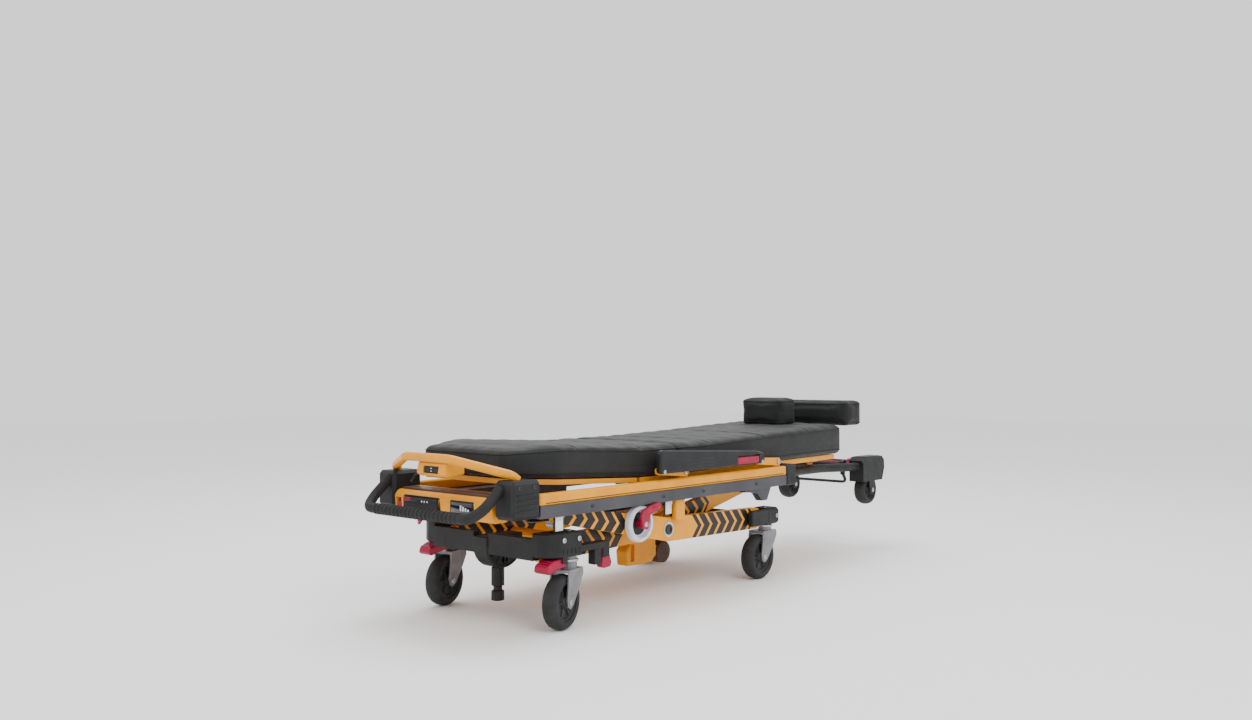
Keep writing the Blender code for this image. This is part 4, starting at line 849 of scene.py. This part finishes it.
def leg_details():
    """Reflectors, pivot caps, the amber guide bracket, and the pump's motor and hoses."""
    centre, lock = pivot("legs_scissor"), pivot("leg_lock_turn")
    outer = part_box("outer_leg_frame")[1].y
    inner_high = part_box("rail_track_right")[1].y
    for label, side in SIDES.items():
        for number, distance in ((1, -0.014), (2, 0.467)):
            ys = sorted((side * (inner_high - 0.022), side * (inner_high - 0.018)))
            low = (along(distance) - 0.014, ys[0], 0.2720)
            plate = block(low, (along(distance) + 0.014, ys[1], 0.3135), 0.0012, 2)
            piece(f"reflector_{number}_{label}", plate, "reflector", "litter")
            ys = sorted((side * (inner_high - 0.0255), side * (inner_high - 0.0215)))
            back = block((along(distance) - 0.018, ys[0], 0.268), (along(distance) + 0.018, ys[1], 0.3165), 0.0015, 2)
            piece(f"reflector_back_{number}_{label}", back, "black", "litter")
        ys = sorted((side * (inner_high - 0.026), side * (inner_high - 0.006)))
        bracket = block((along(0.490), ys[0], 0.250), (along(0.534), ys[1], 0.3155), 0.004, 3)
        piece(f"guide_bracket_{label}", bracket, "amber", "litter")
        bolts(f"pivot_cap_{label}", [((centre.x, side * 0.2565, centre.z), (0, side, 0))], "inner_legs",
              0.0165, "dark_bolt", 0.005)
        rims = bmesh.new()
        ring = lathed([(-0.0010, 0.0150), (-0.0010, 0.0235), (0.0020, 0.0225), (0.0020, 0.0160)], 36, True)
        absorb(rims, ring, Matrix.Translation((centre.x, side * (outer + 0.0006), centre.z)))
        piece(f"pivot_rim_{label}", rims, "steel", "outer_legs")
    low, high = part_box("power_unit")
    can = Vector((high.x - 0.036, 0.0, 0.106))
    fins = bmesh.new()
    for k in range(9):
        ring = lathed([(-0.0022, 0.0345), (-0.0014, 0.0375), (0.0014, 0.0375), (0.0022, 0.0345)], 40, True)
        absorb(fins, ring, Matrix.Translation((can.x, -0.042 + 0.0098 * k, can.z)))
    sleeve = lathed([(-0.0575, 0.012), (-0.0575, 0.0340), (-0.0560, 0.0364), (0.0460, 0.0364), (0.0475, 0.0340),
                     (0.0475, 0.012)], 48)
    absorb(fins, sleeve, Matrix.Translation(can))
    piece("pump_motor", fins, "motor", "outer_legs")
    hose = [(high.x - 0.105, -0.018, 0.180), (high.x - 0.105, -0.006, 0.192), (high.x - 0.060, 0.0, 0.192),
            (high.x - 0.036, 0.0, 0.136)]
    piece("pump_hose", tube(rounded_path(hose, 0.016, 6), 0.0050, 12), "grip", "outer_legs")
    places = [((low.x + 0.040, -0.062, 0.160), (0, -1, 0)), ((low.x + 0.120, -0.062, 0.105), (0, -1, 0)),
              ((low.x + 0.100, -0.062, 0.165), (0, -1, 0))]
    bolts("pump_cover_bolts", places, "outer_legs", 0.005)
    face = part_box("leg_lock_lever")[0].y
    disc = lathed([(0.0, 0.0335), (0.0022, 0.0335), (0.0034, 0.0320), (0.0034, 0.0145)], 48)
    turned = Matrix.Translation((lock.x, -0.2635, lock.z)) @ Matrix.Rotation(math.pi, 4, "Z")
    piece("leg_lock_face", absorb(bmesh.new(), disc, turned), "black_satin", "outer_legs")
    grip = block((lock.x + 0.030, face - 0.0016, lock.z + 0.041), (lock.x + 0.064, face + 0.002, lock.z + 0.050),
                 0.0015, 3)
    piece("lock_lever_grip", grip, "red", "leg_lock")
    bolts("lock_lever_hub", [((lock.x, face, lock.z), (0, -1, 0))], "leg_lock", 0.0080, "bolt", 0.0015)


def base_details():
    """Housing ribs, cap bolts and the ribbed half-round bracket above the retaining post."""
    low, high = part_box("foot_base")
    places = []
    for side in SIDES.values():
        stem = pivot("caster_swivel_foot_right")
        places.append(((stem.x, side * stem.y, high.z), (0, 0, 1)))
        places.append(((along(-0.008), side * high.y, 0.246), (0, side, 0)))
        places.append(((along(0.052), side * high.y, 0.246), (0, side, 0)))
    bolts("foot_base_bolts", places, "foot_base", 0.0075, "bolt", 0.004)
    low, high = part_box("head_base")
    places = []
    for side in SIDES.values():
        stem = pivot("caster_swivel_head_right")
        places.append(((stem.x, side * stem.y, high.z), (0, 0, 1)))
        places.append(((along(1.055), side * high.y, 0.212), (0, side, 0)))
    bolts("head_base_bolts", places, "head_base", 0.0075, "bolt", 0.004)
    for label, side in SIDES.items():
        low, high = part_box("foot_base")
        bm = bmesh.new()
        for k in range(5):
            x = along(-0.012) + 0.0165 * k
            ys = sorted((side * (high.y - 0.002), side * (high.y + 0.0018)))
            absorb(bm, block((x, ys[0], 0.206), (x + 0.004, ys[1], 0.222), 0.0012, 2))
        piece(f"foot_housing_ribs_{label}", bm, "black", "foot_base")
    low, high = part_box("post_bracket")
    centre = Vector(((low.x + high.x) / 2.0, 0.0, 0.212))
    bm = bmesh.new()
    for y in (low.y, high.y):
        arc = []
        for k in range(19):
            angle = math.pi + math.pi * k / 18.0
            arc.append((centre.x + 0.066 * math.cos(angle), y, centre.z + 0.064 * math.sin(angle)))
        absorb(bm, tube(arc, 0.0032, 8))
        for k in range(1, 6):
            angle = math.pi + math.pi * k / 6.0
            rib = [(centre.x + r * math.cos(angle), y, centre.z + r * math.sin(angle) * 0.97) for r in (0.026, 0.064)]
            absorb(bm, tube(rib, 0.0024, 8))
    piece("post_bracket_ribs", bm, "black_satin", "foot_base")
    for label, side in SIDES.items():
        low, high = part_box(f"brake_pedal_{label}")
        bm = bmesh.new()
        for k in range(3):
            x, z = along(-0.0625 + 0.009 * k), 0.1824 + 0.0042 * k
            absorb(bm, tube([(x, low.y + 0.006, z), (x, high.y - 0.006, z)], 0.0016, 8))
        piece(f"pedal_treads_{label}", bm, "red", f"brake_{label}")
    low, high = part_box("steer_lock_pedal")
    bm = bmesh.new()
    for k in range(3):
        x, z = high.x - 0.0035 - 0.0032 * k, 0.166 + 0.009 * k
        absorb(bm, tube([(x, low.y + 0.004, z), (x, high.y - 0.004, z)], 0.0015, 8))
    piece("steer_pedal_treads", bm, "red", "steer_lock")


def head_details():
    """Bolts, housing lids and release handle ridges on the telescoping head section."""
    places = []
    for side in SIDES.values():
        for distance in (1.790, 1.940):
            places.append(((along(distance), side * 0.2135, 0.350), (0, side, 0)))
    bolts("head_section_bolts", places, "head_section", 0.006, "dark_bolt", 0.003)
    bm = bmesh.new()
    for side in SIDES.values():
        ys = sorted((side * 0.156, side * 0.208))
        absorb(bm, block((along(1.818), ys[0], 0.3650), (along(1.946), ys[1], 0.3682), 0.0012, 2))
    piece("head_housing_lids", bm, "black_satin", "head_section")
    grip_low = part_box("head_release_handle")[0]
    bm = bmesh.new()
    for k in range(9):
        y = -0.048 + 0.012 * k
        near, far = (grip_low.x - 0.0012, y - 0.002, 0.3245), (grip_low.x + 0.003, y + 0.002, 0.3355)
        absorb(bm, block(near, far, 0.0008, 2))
    piece("head_release_ridges", bm, "red", "head_release")


def dress_cad():
    """Give every CAD solid that stays in view its detailed material."""
    special = {"inner_leg_frame": "amber_inner", "outer_leg_frame": "amber_outer", "leg_lock_ring": "ring",
               "lower_lift_bar": "grip", "height_switch": "black_satin", "siderail_bar_left": "black_satin",
               "siderail_bar_right": "black_satin", "retaining_post": "black_satin",
               "safety_bar": "black_satin"}
    by_slot = {"painted_amber": "amber", "black_plastic": "black", "grey_track": "track", "mattress": "fabric",
               "red_plastic": "red", "steel": "steel", "fork_grey": "fork", "tyre": "tread", "ring_grey": "ring"}
    slots = {part["node"]: part["material_slot"] for part in frame["record"]["subparts"]}
    for name, made in NODES.items():
        look = special.get(name, by_slot[slots[name]])
        made.data.materials.clear()
        made.data.materials.append(MATERIALS[look])


# ---------------------------------------------------------------- stage
def studio():
    scene = bpy.context.scene
    floor = block((-14.0, -14.0, -0.02), (14.0, 14.0, 0.0), 0.0)
    mesh = bpy.data.meshes.new("floor")
    floor.to_mesh(mesh)
    floor.free()
    made = bpy.data.objects.new("floor", mesh)
    scene.collection.objects.link(made)
    pale = bpy.data.materials.new("pale_floor")
    pale.use_nodes = True
    pale.node_tree.nodes["Principled BSDF"].inputs["Base Color"].default_value = (0.97, 0.97, 0.97, 1.0)
    pale.node_tree.nodes["Principled BSDF"].inputs["Roughness"].default_value = 0.9
    made.data.materials.append(pale)
    world = bpy.data.worlds.new("studio")
    scene.world = world
    world.use_nodes = True
    world.node_tree.nodes["Background"].inputs["Color"].default_value = (1.0, 1.0, 1.0, 1.0)
    world.node_tree.nodes["Background"].inputs["Strength"].default_value = 1.25
    for name, place, size, power in (("key", (-1.6, -3.4, 3.0), 1.8, 60.0), ("top", (0.4, 0.6, 4.2), 2.6, 110.0),
                                     ("fill", (-4.2, 1.6, 2.0), 2.4, 15.0)):
        light = bpy.data.lights.new(name, "AREA")
        light.size = size
        light.energy = power
        lamp = bpy.data.objects.new(name, light)
        lamp.location = place
        lamp.rotation_euler = (Vector((0.0, 0.0, 0.25)) - Vector(place)).to_track_quat("-Z", "Y").to_euler()
        scene.collection.objects.link(lamp)
    camera = bpy.data.objects.new("camera", bpy.data.cameras.new("camera"))
    camera.data.sensor_width = 36.0
    camera.data.lens = 31.17
    camera.location = (-2.982, -2.340, 0.697)
    camera.rotation_euler = (math.radians(90.83), 0.0, math.radians(-49.34))
    scene.collection.objects.link(camera)
    scene.camera = camera


dress_cad()
soft_goods()
all_wheels()
rail_details()
corner_ribs()
console()
control_details()
siderail_details()
leg_details()
base_details()
head_details()
studio()
